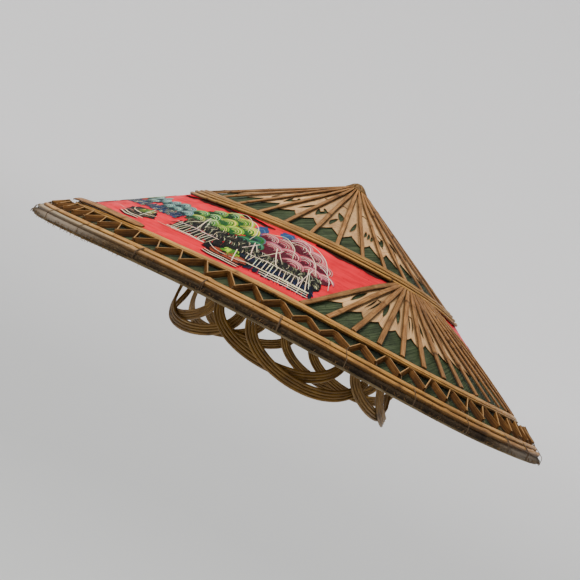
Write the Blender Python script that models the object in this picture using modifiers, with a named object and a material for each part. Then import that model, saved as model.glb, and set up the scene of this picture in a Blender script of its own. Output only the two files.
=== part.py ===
"""Conical bamboo hat: woven lining, leaf cover, painted panels, bamboo ribs and hoops, rattan headband.

Units are metres. +Z is the hat's axis and the origin is the centre of the rim plane. Azimuths are in
degrees round the axis: 0 is the front (-Y), 90 is the wearer's left (+X). Every layer on the cone is
placed by its lift, the height above a reference cone through the rim's edge.
"""
import math

import bmesh
import bpy
from mathutils import Vector

MM = 0.001
COLLECTION_NAME = "conical_hat"

# Cone: two straight slopes that meet under the upper hoop.
RIM_RADIUS = 230 * MM
KNEE_RADIUS = 116 * MM
KNEE_HEIGHT = 72 * MM
APEX_HEIGHT = 138 * MM
RING_STEPS = 60
BISECTIONS = 40

# Skins, as lifts above the cone surface.
LINING_TOP = -0.5 * MM
LINING_BOTTOM = -2.7 * MM
COVER_TOP = 0.9 * MM
SKIN_EDGE_RADIUS = 227.4 * MM
SHEET_LIFT = 1.4 * MM
SHEET_THICKNESS = 0.5 * MM

# Crown: ribs in folded pairs from the apex to the upper hoop, over a cut leaf.
RIB_COUNT = 34
RIB_START = -4
RIB_LIFT = 2.5 * MM
RIB_THICKNESS = 1.4 * MM
RIB_WIDTH = 3.2 * MM
RIB_STATIONS = (7 * MM, 12 * MM, 24 * MM, 108 * MM)
RIB_TOP_WIDTH = 1.5 * MM
CROWN_LEAF_INNER = 10 * MM
CROWN_LEAF_LONG = 97 * MM
CROWN_LEAF_SHORT = 84 * MM

# Hoops: inner and outer radius, and the lift of their upper faces.
HOOP_LIFT = SHEET_LIFT
UPPER_HOOP = (111.0 * MM, 120.6 * MM)
UPPER_HOOP_TOP = 5.0 * MM
MID_HOOP = (196.3 * MM, 201.5 * MM)
MID_HOOP_TOP = 3.9 * MM
RIM_HOOP_UPPER = (219.0 * MM, 223.0 * MM)
RIM_HOOP_LOWER = (223.4 * MM, 227.4 * MM)
RIM_HOOP_TOP = 4.6 * MM

# Loose overlapping end of the mid hoop, lying over it at the front.
SPLICE_AZIMUTHS = (-19, 22)
SPLICE_RADII = (203.2 * MM, 199.2 * MM)
SPLICE_WIDTH = 5.6 * MM
SPLICE_LIFTS = (6.0 * MM, 4.4 * MM)
SPLICE_THICKNESS = 1.3 * MM

# Zigzag strip standing on edge between the mid hoop and the rim hoops.
ZIGZAG_PERIODS = 70
ZIGZAG_INNER = 205.0 * MM
ZIGZAG_OUTER = 217.6 * MM
ZIGZAG_HEIGHT = 4.0 * MM
ZIGZAG_THICKNESS = 0.9 * MM

# Rim edge: bark band round the edge of both skins, and a flat-bottomed hoop under the lining.
EDGE_BAND = (227.8 * MM, RIM_RADIUS)
EDGE_BAND_HEIGHTS = (-3.6 * MM, 2.6 * MM)
BASE_HOOP = (222.2 * MM, 227.4 * MM)
BASE_HOOP_BOTTOM = -4.6 * MM

# Fans at both sides: ribs spread from a point behind the upper hoop to the mid hoop. Their inner ends
# merge in a hub just outside the upper hoop.
FAN_AZIMUTHS = {"left": 93, "right": -87}
FAN_HALF_ANGLE = 36
FAN_CENTRE_RADIUS = 116.5 * MM
FAN_END_RADIUS = 195.7 * MM
FAN_RIBS = 14
FAN_RIB_WIDTH = 3.9 * MM
FAN_HUB_RADII = (121.4 * MM, 124.6 * MM)
FAN_STATIONS = 8
FAN_LEAF_START_RADIUS = 123.2 * MM
FAN_LEAF_RADII = (178 * MM, 171 * MM)

# Painted panels between the fans, front and back.
PANEL_AZIMUTHS = {"front": 3, "back": 183}
PANEL_HALF_ANGLE = 82.5
PANEL_COLUMNS = 28
PANEL_GAP = 1.0 * MM

# Apex cap and its tie ring. The cap's profile runs from its top down its outer side.
CAP_PROFILE = ((0, 142.6 * MM), (3.7 * MM, 141.9 * MM), (6.9 * MM, 139.8 * MM), (7.6 * MM, 138.0 * MM))
CAP_HOLLOW_HEIGHT = 139.4 * MM
TIE_RADIUS = 9.2 * MM
TIE_THICKNESS = 1.6 * MM
TIE_LIFT = 5.6 * MM

# Rattan headband: pairs of U-shaped loops, shingled so that each left leg lies outside its neighbour.
LOOP_PAIR_AZIMUTHS = (-10, 61, 127.5, 201, 276)
LOOP_PAIR_HALF_STEP = 8.7
LOOP_BOTTOMS = (-24.0 * MM, -28.0 * MM)
LOOP_HALF_ANGLE = 31.4
LOOP_RADIUS = 99.5 * MM
LOOP_SHINGLE_PER_DEGREE = 0.155 * MM
LOOP_WIDTH = 9.0 * MM
LOOP_THICKNESS = 2.0 * MM
LOOP_SHOULDER = 3.0 * MM
LOOP_TOP = 66 * MM
LOOP_ARC_STATIONS = 9
HEADBAND_RING_HEIGHTS = (60 * MM, 72 * MM)
OUTER_RING = (105.9 * MM, 108.9 * MM)
INNER_RING = (90.2 * MM, 93.1 * MM)

# Colour, roughness of each finish.
FINISHES = {
    "lining": ((0.36, 0.24, 0.11), 0.8),
    "leaf_green": ((0.10, 0.15, 0.08), 0.6),
    "leaf_tan": ((0.52, 0.34, 0.16), 0.7),
    "painted_leaf": ((0.78, 0.08, 0.10), 0.5),
    "rib_bamboo": ((0.33, 0.18, 0.07), 0.45),
    "hoop_bamboo": ((0.43, 0.26, 0.08), 0.4),
    "zigzag_bamboo": ((0.20, 0.09, 0.04), 0.5),
    "rim_bamboo": ((0.46, 0.28, 0.08), 0.4),
    "rim_bark": ((0.25, 0.20, 0.13), 0.8),
    "straw": ((0.40, 0.28, 0.14), 0.8),
    "rattan": ((0.24, 0.13, 0.05), 0.45),
}


def surface_height(radius):
    """Height of the cone surface at a distance from the axis."""
    if radius <= KNEE_RADIUS:
        return APEX_HEIGHT - (APEX_HEIGHT - KNEE_HEIGHT) * radius / KNEE_RADIUS
    return KNEE_HEIGHT * (RIM_RADIUS - radius) / (RIM_RADIUS - KNEE_RADIUS)


def on_cone(azimuth, radius, lift):
    """Point at an azimuth in degrees and a radius, at a lift above the cone surface."""
    angle = math.radians(azimuth)
    return Vector((radius * math.sin(angle), -radius * math.cos(angle), surface_height(radius) + lift))


def on_cylinder(azimuth, radius, height):
    """Point at an azimuth in degrees, a radius and a height."""
    angle = math.radians(azimuth)
    return Vector((radius * math.sin(angle), -radius * math.cos(angle), height))


def fan_point(fan_azimuth, across, along, lift):
    """Point of a fan: across runs -1 to 1 from border to border, along 0 to 1 from its centre to the mid hoop.

    Lines of constant across are straight on the unrolled cone, as a straight strip laid on it would be.
    """
    slope = math.atan2(KNEE_HEIGHT, RIM_RADIUS - KNEE_RADIUS)
    unroll = math.cos(slope)
    end_angle = math.radians(across * FAN_HALF_ANGLE) * unroll
    end_slant = FAN_END_RADIUS / unroll
    start_slant = FAN_CENTRE_RADIUS / unroll
    flat_x = along * end_slant * math.sin(end_angle)
    flat_y = start_slant + along * (end_slant * math.cos(end_angle) - start_slant)
    radius = math.hypot(flat_x, flat_y) * unroll
    azimuth = fan_azimuth + math.degrees(math.atan2(flat_x, flat_y) / unroll)
    return on_cone(azimuth, radius, lift)


def along_to(across, radius):
    """Share along a fan's line at which it reaches a radius."""
    low, high = 0.0, 1.0
    for _ in range(BISECTIONS):
        along = (low + high) / 2
        if fan_point(0, across, along, 0).xy.length < radius:
            low = along
        else:
            high = along
    return along


def finish(name):
    """Principled material of one finish."""
    colour, roughness = FINISHES[name]
    material = bpy.data.materials.get(name) or bpy.data.materials.new(name)
    material.use_nodes = True
    shader = material.node_tree.nodes["Principled BSDF"]
    shader.inputs["Base Color"].default_value = (*colour, 1)
    shader.inputs["Roughness"].default_value = roughness
    shader.inputs["Metallic"].default_value = 0
    return material


def new_object(name, shape, finish_name, collection):
    """Object from a bmesh, with its finish."""
    mesh = bpy.data.meshes.new(name)
    shape.to_mesh(mesh)
    shape.free()
    mesh.materials.append(finish(finish_name))
    part = bpy.data.objects.new(name, mesh)
    collection.objects.link(part)
    return part


def solidify(part, thickness, offset):
    """Give an open sheet its thickness."""
    modifier = part.modifiers.new("thickness", "SOLIDIFY")
    modifier.thickness = thickness
    modifier.offset = offset
    modifier.use_even_offset = True
    return part


def grid_sheet(place, columns, rows, closed=False, dropped=()):
    """Open grid whose point (column, row) is place(column, row); dropped cells are cut out."""
    shape = bmesh.new()
    bmesh.ops.create_grid(shape, x_segments=columns, y_segments=rows, size=0.5)
    cells = {}
    for face in shape.faces:
        centre = face.calc_center_median()
        cells[int((centre.x + 0.5) * columns), int((centre.y + 0.5) * rows)] = face
    bmesh.ops.delete(shape, geom=[cells[key] for key in dropped], context="FACES")
    for vertex in shape.verts:
        column = round((vertex.co.x + 0.5) * columns)
        row = round((vertex.co.y + 0.5) * rows)
        vertex.co = place(column, row)
    if closed:
        bmesh.ops.remove_doubles(shape, verts=shape.verts, dist=0.01 * MM)
    bmesh.ops.recalc_face_normals(shape, faces=shape.faces)
    return shape


def cone_sheet(name, place, columns, rows, thickness, finish_name, collection, **options):
    """Sheet lying on the cone, thickened outwards."""
    shape = grid_sheet(place, columns, rows, **options)
    if sum(face.normal.z for face in shape.faces) < 0:
        bmesh.ops.reverse_faces(shape, faces=shape.faces)
    return solidify(new_object(name, shape, finish_name, collection), thickness, 1)


def turned(name, profile, finish_name, collection, steps=RING_STEPS):
    """Solid turned about Z from a profile at +X that runs down its outer side, top to bottom."""
    shape = bmesh.new()
    points = [shape.verts.new((radius, 0, height)) for radius, height in profile]
    for start, end in zip(points, points[1:]):
        shape.edges.new((start, end))
    if profile[0][0] > 0:
        shape.edges.new((points[-1], points[0]))
    part = new_object(name, shape, finish_name, collection)
    modifier = part.modifiers.new("turn", "SCREW")
    modifier.axis = "Z"
    modifier.steps = steps
    modifier.render_steps = steps
    modifier.use_merge_vertices = True
    modifier.merge_threshold = 0.0001
    return part


def cone_profile(radius, lift):
    """Profile point at a lift above the cone surface."""
    return radius, surface_height(radius) + lift


def skin(name, top, bottom, finish_name, collection):
    """Cone-shaped skin from the apex to the rim, between two lifts."""
    radii = (0, KNEE_RADIUS, SKIN_EDGE_RADIUS)
    profile = [cone_profile(radius, top) for radius in radii]
    profile += [cone_profile(radius, bottom) for radius in reversed(radii)]
    return turned(name, profile, finish_name, collection)


def hoop(name, radii, top, finish_name, collection):
    """Hoop with rounded shoulders lying on the cone."""
    inner, outer = radii
    shoulder = (outer - inner) * 0.22
    shoulder_lift = top - (top - HOOP_LIFT) * 0.4
    profile = [
        cone_profile(inner, shoulder_lift),
        cone_profile(inner + shoulder, top),
        cone_profile(outer - shoulder, top),
        cone_profile(outer, shoulder_lift),
        cone_profile(outer, HOOP_LIFT),
        cone_profile(inner, HOOP_LIFT),
    ]
    return turned(name, profile, finish_name, collection)


def upper_hoop(collection):
    """Broad hoop over the knee of the cone."""
    inner, outer = UPPER_HOOP
    profile = [
        cone_profile(inner, HOOP_LIFT + 1.8 * MM),
        cone_profile(inner + 1.6 * MM, UPPER_HOOP_TOP),
        cone_profile(outer - 1.6 * MM, UPPER_HOOP_TOP),
        cone_profile(outer, HOOP_LIFT + 1.8 * MM),
        cone_profile(outer, HOOP_LIFT),
        cone_profile(KNEE_RADIUS, HOOP_LIFT),
        cone_profile(inner, HOOP_LIFT),
    ]
    return turned("upper_hoop", profile, "hoop_bamboo", collection)


def crown_leaf(collection):
    """Cut leaf under the crown ribs, longer under each rib than between ribs."""
    def place(column, row):
        outer = CROWN_LEAF_LONG if column % 2 == 0 else CROWN_LEAF_SHORT
        radius = CROWN_LEAF_INNER + (outer - CROWN_LEAF_INNER) * row / 2
        return on_cone(RIB_START + 360 * column / (2 * RIB_COUNT), radius, SHEET_LIFT)
    cone_sheet("crown_leaf", place, 2 * RIB_COUNT, 2, SHEET_THICKNESS, "leaf_tan", collection, closed=True)


def crown_ribs(collection):
    """Ribs in folded pairs: each pair is one strip doubled back at the apex."""
    step = 360 / RIB_COUNT
    rows = len(RIB_STATIONS) - 1
    for pair in range(RIB_COUNT // 2):
        start = RIB_START + 2 * pair * step

        def place(column, row, start=start):
            radius = RIB_STATIONS[row]
            width = RIB_WIDTH if row >= 2 else RIB_TOP_WIDTH * radius / RIB_STATIONS[1]
            half = math.degrees(width / 2 / radius)
            return on_cone(start + (-half, half, step - half, step + half)[column], radius, RIB_LIFT)
        gap = [(1, row) for row in range(1, rows)]
        cone_sheet(f"crown_rib_pair_{pair + 1:02d}", place, 3, rows, RIB_THICKNESS, "rib_bamboo",
                   collection, dropped=gap)


def zigzag_strip(collection):
    """Thin strip on edge, folded to and fro between the mid hoop and the rim hoops."""
    corners = 2 * ZIGZAG_PERIODS

    def place(column, row):
        radius = ZIGZAG_OUTER if column % 2 == 0 else ZIGZAG_INNER
        return on_cone(360 * column / corners, radius, HOOP_LIFT + row * ZIGZAG_HEIGHT)
    shape = grid_sheet(place, corners, 1, closed=True)
    solidify(new_object("zigzag_strip", shape, "zigzag_bamboo", collection), ZIGZAG_THICKNESS, 0)


def mid_hoop_splice(collection):
    """Loose overlapping end of the mid hoop."""
    columns = 8

    def place(column, row):
        share = column / columns
        azimuth = SPLICE_AZIMUTHS[0] + (SPLICE_AZIMUTHS[1] - SPLICE_AZIMUTHS[0]) * share
        radius = SPLICE_RADII[0] + (SPLICE_RADII[1] - SPLICE_RADII[0]) * share
        lowered = max(0, share - 0.625) / 0.375
        lift = SPLICE_LIFTS[0] + (SPLICE_LIFTS[1] - SPLICE_LIFTS[0]) * lowered
        return on_cone(azimuth, radius + (row - 0.5) * SPLICE_WIDTH, lift)
    cone_sheet("mid_hoop_splice", place, columns, 1, SPLICE_THICKNESS, "hoop_bamboo", collection)


def rim(collection):
    """Hoops and bands that clamp the edge of the skins."""
    hoop("rim_hoop_upper", RIM_HOOP_UPPER, RIM_HOOP_TOP, "rim_bamboo", collection)
    hoop("rim_hoop_lower", RIM_HOOP_LOWER, RIM_HOOP_TOP, "rim_bamboo", collection)
    low, high = EDGE_BAND_HEIGHTS
    inner, outer = EDGE_BAND
    band = [(inner, high), (outer, high - 1.4 * MM), (outer, low + 0.8 * MM), (inner, low)]
    turned("rim_edge_band", band, "rim_bark", collection)
    inner, outer = BASE_HOOP
    under_lining = LINING_BOTTOM - 0.4 * MM
    base = [cone_profile(inner, under_lining), cone_profile(outer, under_lining),
            (outer, BASE_HOOP_BOTTOM), (inner, BASE_HOOP_BOTTOM)]
    turned("rim_base_hoop", base, "rim_bark", collection)


def fan(side, collection):
    """Leaf and ribs of one fan."""
    azimuth = FAN_AZIMUTHS[side]
    leaf_columns = 2 * (FAN_RIBS - 1)
    border = 1 - PANEL_GAP / (math.radians(FAN_HALF_ANGLE) * FAN_END_RADIUS)

    def place_leaf(column, row):
        across = border * (2 * column / leaf_columns - 1)
        start = along_to(across, FAN_LEAF_START_RADIUS)
        outer = along_to(across, FAN_LEAF_RADII[column % 2])
        along = start + (outer - start) * row / 3
        return fan_point(azimuth, across, along, SHEET_LIFT)
    cone_sheet(f"fan_leaf_{side}", place_leaf, leaf_columns, 3, SHEET_THICKNESS, "leaf_tan", collection)

    rib_columns = 2 * FAN_RIBS - 1
    pitch = 2 * math.radians(FAN_HALF_ANGLE) * FAN_END_RADIUS / (FAN_RIBS - 1)

    def place_rib(column, row):
        middle = 2 * (column // 2) / (FAN_RIBS - 1) - 1
        hub_start, hub_end = (along_to(middle, radius) for radius in FAN_HUB_RADII)
        along = hub_end + (1 - hub_end) * (row - 1) / (FAN_STATIONS - 1) if row else hub_start
        half_width = min(FAN_RIB_WIDTH, 0.74 * pitch * along) / 2
        half_share = half_width / (pitch * along) * 2 / (FAN_RIBS - 1)
        across = middle + (half_share if column % 2 else -half_share)
        return fan_point(azimuth, across, along, RIB_LIFT)
    gaps = [(column, row) for column in range(1, rib_columns, 2) for row in range(1, FAN_STATIONS)]
    cone_sheet(f"fan_ribs_{side}", place_rib, rib_columns, FAN_STATIONS, RIB_THICKNESS, "rib_bamboo",
               collection, dropped=gaps)


def border_radius(offset):
    """Radius of a fan's border rib at an azimuth offset from the fan's middle, in degrees."""
    low, high = 0.0, 1.0
    for _ in range(BISECTIONS):
        along = (low + high) / 2
        point = fan_point(0, 1, along, 0)
        if math.degrees(math.atan2(point.x, -point.y)) < offset:
            low = along
        else:
            high = along
    return math.hypot(point.x, point.y)


def painted_panel(side, collection):
    """Painted leaf panel between the two fans."""
    middle = PANEL_AZIMUTHS[side]
    inner = UPPER_HOOP[1] + PANEL_GAP

    def place(column, row):
        azimuth = PANEL_HALF_ANGLE * (2 * column / PANEL_COLUMNS - 1)
        outer = min(FAN_END_RADIUS, border_radius(90 - abs(azimuth))) - PANEL_GAP
        return on_cone(middle + azimuth, inner + (outer - inner) * row / 2, SHEET_LIFT)
    cone_sheet(f"painted_panel_{side}", place, PANEL_COLUMNS, 2, SHEET_THICKNESS, "painted_leaf", collection)


def apex(collection):
    """Cap over the folded rib ends, and the tie ring round it."""
    turned("apex_cap", [*CAP_PROFILE, (0, CAP_HOLLOW_HEIGHT)], "straw", collection, steps=24)
    bpy.ops.mesh.primitive_torus_add(
        major_segments=30, minor_segments=6, major_radius=TIE_RADIUS, minor_radius=TIE_THICKNESS / 2,
        location=(0, 0, surface_height(TIE_RADIUS) + TIE_LIFT))
    tie = bpy.context.object
    tie.name = tie.data.name = "apex_tie"
    tie.data.materials.append(finish("straw"))
    for owner in list(tie.users_collection):
        owner.objects.unlink(tie)
    collection.objects.link(tie)


def loop_path(bottom):
    """Middle line of a headband loop: angle from its centre in degrees, and height."""
    path = [(-LOOP_HALF_ANGLE, LOOP_TOP), (-LOOP_HALF_ANGLE, (LOOP_TOP + LOOP_SHOULDER) / 2)]
    for station in range(LOOP_ARC_STATIONS + 2):
        turn = math.pi * station / (LOOP_ARC_STATIONS + 1)
        height = LOOP_SHOULDER - (LOOP_SHOULDER - bottom) * math.sin(turn)
        path.append((-LOOP_HALF_ANGLE * math.cos(turn), height))
    return path + [(LOOP_HALF_ANGLE, height) for _, height in (path[1], path[0])]


def headband_loop(name, centre, bottom, collection):
    """Flat rattan bundle bent into a U, further out at its left leg than at its right leg."""
    path = loop_path(bottom)
    flat = [Vector((math.radians(angle) * LOOP_RADIUS, height)) for angle, height in path]

    def place(column, row):
        before = flat[max(column - 1, 0)]
        after = flat[min(column + 1, len(flat) - 1)]
        along = (after - before).normalized()
        edge = flat[column] + Vector((-along.y, along.x)) * (row - 0.5) * LOOP_WIDTH
        angle = math.degrees(edge.x / LOOP_RADIUS)
        radius = LOOP_RADIUS - LOOP_SHINGLE_PER_DEGREE * angle
        return on_cylinder(centre + angle, radius, edge.y)
    shape = grid_sheet(place, len(flat) - 1, 1)
    solidify(new_object(name, shape, "rattan", collection), LOOP_THICKNESS, 0)


def headband(collection):
    """Rattan loops clamped between two rings under the crown."""
    low, high = HEADBAND_RING_HEIGHTS
    for name, (inner, outer) in (("headband_ring_outer", OUTER_RING), ("headband_ring_inner", INNER_RING)):
        turned(name, [(inner, high), (outer, high), (outer, low), (inner, low)], "rattan", collection)
    for pair, middle in enumerate(LOOP_PAIR_AZIMUTHS):
        for half, bottom in zip((-1, 1), LOOP_BOTTOMS):
            name = f"headband_loop_{2 * pair + (half + 1) // 2 + 1:02d}"
            headband_loop(name, middle + half * LOOP_PAIR_HALF_STEP, bottom, collection)


def build():
    """Build the hat."""
    for old in list(bpy.data.objects):
        bpy.data.objects.remove(old)
    collection = bpy.data.collections.new(COLLECTION_NAME)
    bpy.context.scene.collection.children.link(collection)
    skin("woven_lining", LINING_TOP, LINING_BOTTOM, "lining", collection)
    skin("leaf_cover", COVER_TOP, 0, "leaf_green", collection)
    crown_leaf(collection)
    crown_ribs(collection)
    upper_hoop(collection)
    for side in FAN_AZIMUTHS:
        fan(side, collection)
    for side in PANEL_AZIMUTHS:
        painted_panel(side, collection)
    hoop("mid_hoop", MID_HOOP, MID_HOOP_TOP, "hoop_bamboo", collection)
    mid_hoop_splice(collection)
    zigzag_strip(collection)
    rim(collection)
    apex(collection)
    headband(collection)


build()
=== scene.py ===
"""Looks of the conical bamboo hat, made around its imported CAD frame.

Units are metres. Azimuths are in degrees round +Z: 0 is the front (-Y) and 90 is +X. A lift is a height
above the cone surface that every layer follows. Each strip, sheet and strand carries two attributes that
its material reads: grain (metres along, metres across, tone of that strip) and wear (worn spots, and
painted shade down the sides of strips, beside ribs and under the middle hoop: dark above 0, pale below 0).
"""
import math

import bpy
import numpy as np
from mathutils import Matrix, Vector


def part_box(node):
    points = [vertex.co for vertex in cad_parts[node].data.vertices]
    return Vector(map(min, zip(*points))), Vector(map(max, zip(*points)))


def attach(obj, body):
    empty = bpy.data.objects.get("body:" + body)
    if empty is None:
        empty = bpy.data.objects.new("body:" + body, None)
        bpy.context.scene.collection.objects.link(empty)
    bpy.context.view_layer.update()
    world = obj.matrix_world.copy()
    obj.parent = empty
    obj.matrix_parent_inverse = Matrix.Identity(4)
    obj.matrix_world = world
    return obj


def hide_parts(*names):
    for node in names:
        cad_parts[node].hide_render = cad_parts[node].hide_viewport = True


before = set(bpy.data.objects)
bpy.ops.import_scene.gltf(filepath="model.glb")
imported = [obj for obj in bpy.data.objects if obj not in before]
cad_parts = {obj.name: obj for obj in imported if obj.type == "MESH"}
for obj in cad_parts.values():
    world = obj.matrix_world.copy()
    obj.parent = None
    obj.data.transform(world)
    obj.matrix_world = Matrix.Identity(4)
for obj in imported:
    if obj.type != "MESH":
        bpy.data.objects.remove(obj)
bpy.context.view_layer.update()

MM = 0.001


def reach(node):
    """Outer radius of a round CAD node."""
    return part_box(node)[1].x


def top(node):
    """Highest point of a CAD node."""
    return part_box(node)[1].z


# Cone, as in the CAD: two straight slopes that meet under the upper hoop.
RIM_RADIUS = reach("rim_edge_band")
KNEE_RADIUS = 116 * MM
KNEE_HEIGHT = 72 * MM
COVER_THICKNESS = 0.9 * MM
APEX_HEIGHT = top("leaf_cover") - COVER_THICKNESS
SKIN_EDGE = reach("leaf_cover")

# Layers as lifts.
SHEET_LIFT = 1.45 * MM
SHEET_THICKNESS = 0.35 * MM
RIB_LIFT = 2.4 * MM
RIB_THICKNESS = 1.4 * MM
HOOP_LIFT = 1.5 * MM

# Crown.
RIB_COUNT = 2 * sum(name.startswith("crown_rib_pair_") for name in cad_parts)
RIB_STEP = 360 / RIB_COUNT
RIB_START = -4.0
RIB_WIDTH = 3.2 * MM
RIB_TOP_RADIUS = 7.0 * MM
RIB_FULL_RADIUS = 26 * MM
LEAF_INNER = 10 * MM
LEAF_RIB_RADIUS = 97 * MM
LEAF_ARCH_RADIUS = 87 * MM
LEAF_FINE_RADIUS = 42 * MM
MOTIF_RADIUS = 73 * MM

# Hoops: outer radius from the CAD, and width.
UPPER_HOOP_OUTER = reach("upper_hoop")
UPPER_HOOP_WIDTH = 9.6 * MM
MID_HOOP_OUTER = reach("mid_hoop")
MID_HOOP_WIDTH = 5.2 * MM
# The middle hoop's loose end, from its first to its last point.
SPLICE_AZIMUTHS = (-19, 21)
SPLICE_RADII = (203.0 * MM, 199.4 * MM)
SPLICE_WIDTH = 5.8 * MM
RIM_UPPER_OUTER = reach("rim_hoop_upper")
RIM_LOWER_OUTER = reach("rim_hoop_lower")
RIM_HOOP_WIDTH = 4.0 * MM
RIM_TOP_LIFT = 4.6 * MM
ARC_STEP = 1.0

# Fans.
FAN_AZIMUTHS = {"left": 93, "right": -87}
PANEL_AZIMUTHS = {"front": 3, "back": 183}
TORN_SIDE = "front"
FAN_HALF_ANGLE = 36
FAN_CENTRE = 116.5 * MM
FAN_HUB = 121.4 * MM
FAN_HUB_SPREAD = 9.0 * MM
BEND_RADIUS = 182 * MM
FAN_END = 196.2 * MM
FAN_RIBS = 14
FAN_RIB_WIDTH = 3.9 * MM

# Zigzag strip.
ZIGZAG_PERIODS = 70
ZIGZAG_STEP = 180 / ZIGZAG_PERIODS
ZIGZAG_INNER = 204.8 * MM
ZIGZAG_OUTER = 217.9 * MM
ZIGZAG_HEIGHT = 4.0 * MM
ZIGZAG_THICKNESS = 0.8 * MM

# Headband loops, as in the CAD.
LOOP_PAIR_AZIMUTHS = (-10, 61, 127.5, 201, 276)
LOOP_PAIR_HALF_STEP = 8.7
LOOP_HALF_ANGLE = 31.4
LOOP_RADIUS = 99.5 * MM
LOOP_SHINGLE = 0.155 * MM
LOOP_WIDTH = 9.0 * MM
LOOP_SHOULDER = 3.0 * MM
LOOP_TOP = 66 * MM
LOOP_STRANDS = 4
# How far the worn loops lean to one side at their lower ends.
LOOP_LEAN = (3.8 * MM, 5.9 * MM, 0.0)
RING_MIDDLE_RADII = {"outer": 107.4 * MM, "inner": 91.7 * MM}
RING_HALF_DEPTH = 1.5 * MM
RING_STRANDS = 5

# How the worn hat strays from its true circles: bells as (millimetres, centre azimuth, width in degrees).
# A bell as wide as ALL_ROUND is the same everywhere.
ALL_ROUND = math.inf
BRIM_BEND = ((5.2, 44, 29), (-1.2, 94, 16), (2.5, 215, 40))
BRIM_SWAY = ((1.0, 43, 29), (-1.0, 215, 40))
MID_SWAY = ((2.0, 0, 14), (-4.6, 48, 20), (3.9, 42, 30), (1.2, 94, 24))
FOLD_SWAY = ((2.0, 0, ALL_ROUND), (-6.0, 41, 17), (2.5, 62, 7), (5.2, 42, 30))
CROWN_SWAY_INNER = ((7.2, 22, 32), (4.5, 118, 20), (1.5, 200, 40))
CROWN_SWAY_OUTER = ((2.3, 0, ALL_ROUND), (6.8, 6, 24), (6.0, 122, 13), (1.5, 200, 40))
# Where the bark band is paled by weather, as bells.
BARK_PALE = ((1.1, 6, 20), (0.9, 112, 16), (0.8, 230, 40))

# Camera: where the photographed hat is seen from.
CAMERA_AZIMUTH = 57
CAMERA_ELEVATION = 1.0
CAMERA_DISTANCE = 756 * MM
CAMERA_ROLL = 26.59
CAMERA_LENS = 55.19
CAMERA_AIM = (-13.03 * MM, 0, 35.79 * MM)
# How far the studio's floor lies below the edge of the cone.
FLOOR_DEPTH = 0.75

# Strip sections as (across -1 to 1, depth 0 to 1), anticlockwise.
SPLIT = ((-1, 0), (1, 0), (1, 0.55), (0.82, 0.86), (0.35, 1), (-0.35, 1), (-0.82, 0.86), (-1, 0.55))
EDGEWISE = ((-1, 0), (1, 0), (1, 0.95), (0.7, 1), (-0.7, 1), (-1, 0.95))
BRUSH = ((-1, 0), (1, 0), (0.45, 1), (-0.45, 1))
CANE_SIDES = 8
CANE = tuple((math.cos(math.tau * side / CANE_SIDES), 0.5 + 0.5 * math.sin(math.tau * side / CANE_SIDES))
             for side in range(CANE_SIDES))

# Painted shade down the sides and across the underside of a split strip, none on its top, for each point of
# SPLIT.
PAINTED_SIDE_SHADE = (0.9, 0.9, 0.75, 0.15, 0, 0, 0.15, 0.75)

rng = np.random.default_rng(23)


# ---------------------------------------------------------------- cone geometry

def surface_heights(radii):
    """Height of the cone surface at radii from the axis."""
    crown = APEX_HEIGHT - (APEX_HEIGHT - KNEE_HEIGHT) * radii / KNEE_RADIUS
    brim = KNEE_HEIGHT * (RIM_RADIUS - radii) / (RIM_RADIUS - KNEE_RADIUS)
    return np.where(radii < KNEE_RADIUS, crown, brim)


def bells(azimuths, terms):
    """Sum of bell-shaped rises round the hat, each as (size, centre azimuth, width)."""
    total = 0.0
    for size, centre, width in terms:
        away = (azimuths - centre + 180) % 360 - 180
        total = total + size * np.exp(-(away / width) ** 2)
    return total


def brim_bend(azimuths, radii):
    """How far the edge of the worn brim is bent up or down."""
    share = np.clip((radii - BEND_RADIUS) / (RIM_RADIUS - BEND_RADIUS), 0, 1.1)
    return bells(azimuths, BRIM_BEND) * MM * share


def cone_points(azimuths, radii, lifts):
    """Points at azimuths, radii and lifts above the cone surface."""
    return cylinder_points(azimuths, radii, surface_heights(radii) + lifts)


def cylinder_points(azimuths, radii, heights):
    """Points at azimuths, radii and heights."""
    angles = np.radians(azimuths)
    return stacked(radii * np.sin(angles), -radii * np.cos(angles), heights + brim_bend(azimuths, radii))


def outward(azimuths):
    """Directions away from the axis."""
    return cylinder_points(azimuths, 1.0, 0.0)


def cone_normals(azimuths, radii):
    """Outward normals of the cone surface."""
    angles = np.radians(azimuths)
    slope = np.where(radii < KNEE_RADIUS, (APEX_HEIGHT - KNEE_HEIGHT) / KNEE_RADIUS,
                     KNEE_HEIGHT / (RIM_RADIUS - KNEE_RADIUS))
    return unit(stacked(slope * np.sin(angles), -slope * np.cos(angles), 1.0))


def fan_polar(fan_azimuth, across, along):
    """Azimuth and radius of a point of a fan.

    across runs from -1 to 1 between its borders, and along from 0 at its centre to 1 at its end.
    """
    unroll = math.cos(math.atan2(KNEE_HEIGHT, RIM_RADIUS - KNEE_RADIUS))
    end_angle = np.radians(across * FAN_HALF_ANGLE) * unroll
    start = FAN_CENTRE / unroll
    end = FAN_END / unroll
    flat_x = along * end * np.sin(end_angle) + (1 - along) * across * FAN_HUB_SPREAD
    flat_y = start + along * (end * np.cos(end_angle) - start)
    radii = np.hypot(flat_x, flat_y) * unroll
    return fan_azimuth + np.degrees(np.arctan2(flat_x, flat_y) / unroll), radii


def fan_spacing(gaps, along):
    """Distance between neighbouring ribs of a fan, which start side by side along the upper hoop."""
    end_spacing = math.radians(2 * FAN_HALF_ANGLE / gaps) * FAN_END
    return along * end_spacing + (1 - along) * 2 * FAN_HUB_SPREAD / gaps


def shares(count):
    """Evenly spaced shares from 0 to 1."""
    return np.linspace(0, 1, count)


def stacked(*parts):
    """Points, directions or grain from their parts."""
    return np.stack(np.broadcast_arrays(*parts), axis=-1)


def distances(path):
    """Distance of each point of a path from its start, along the path."""
    return np.concatenate([[0], np.cumsum(np.linalg.norm(np.diff(path, axis=0), axis=1))])


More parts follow.
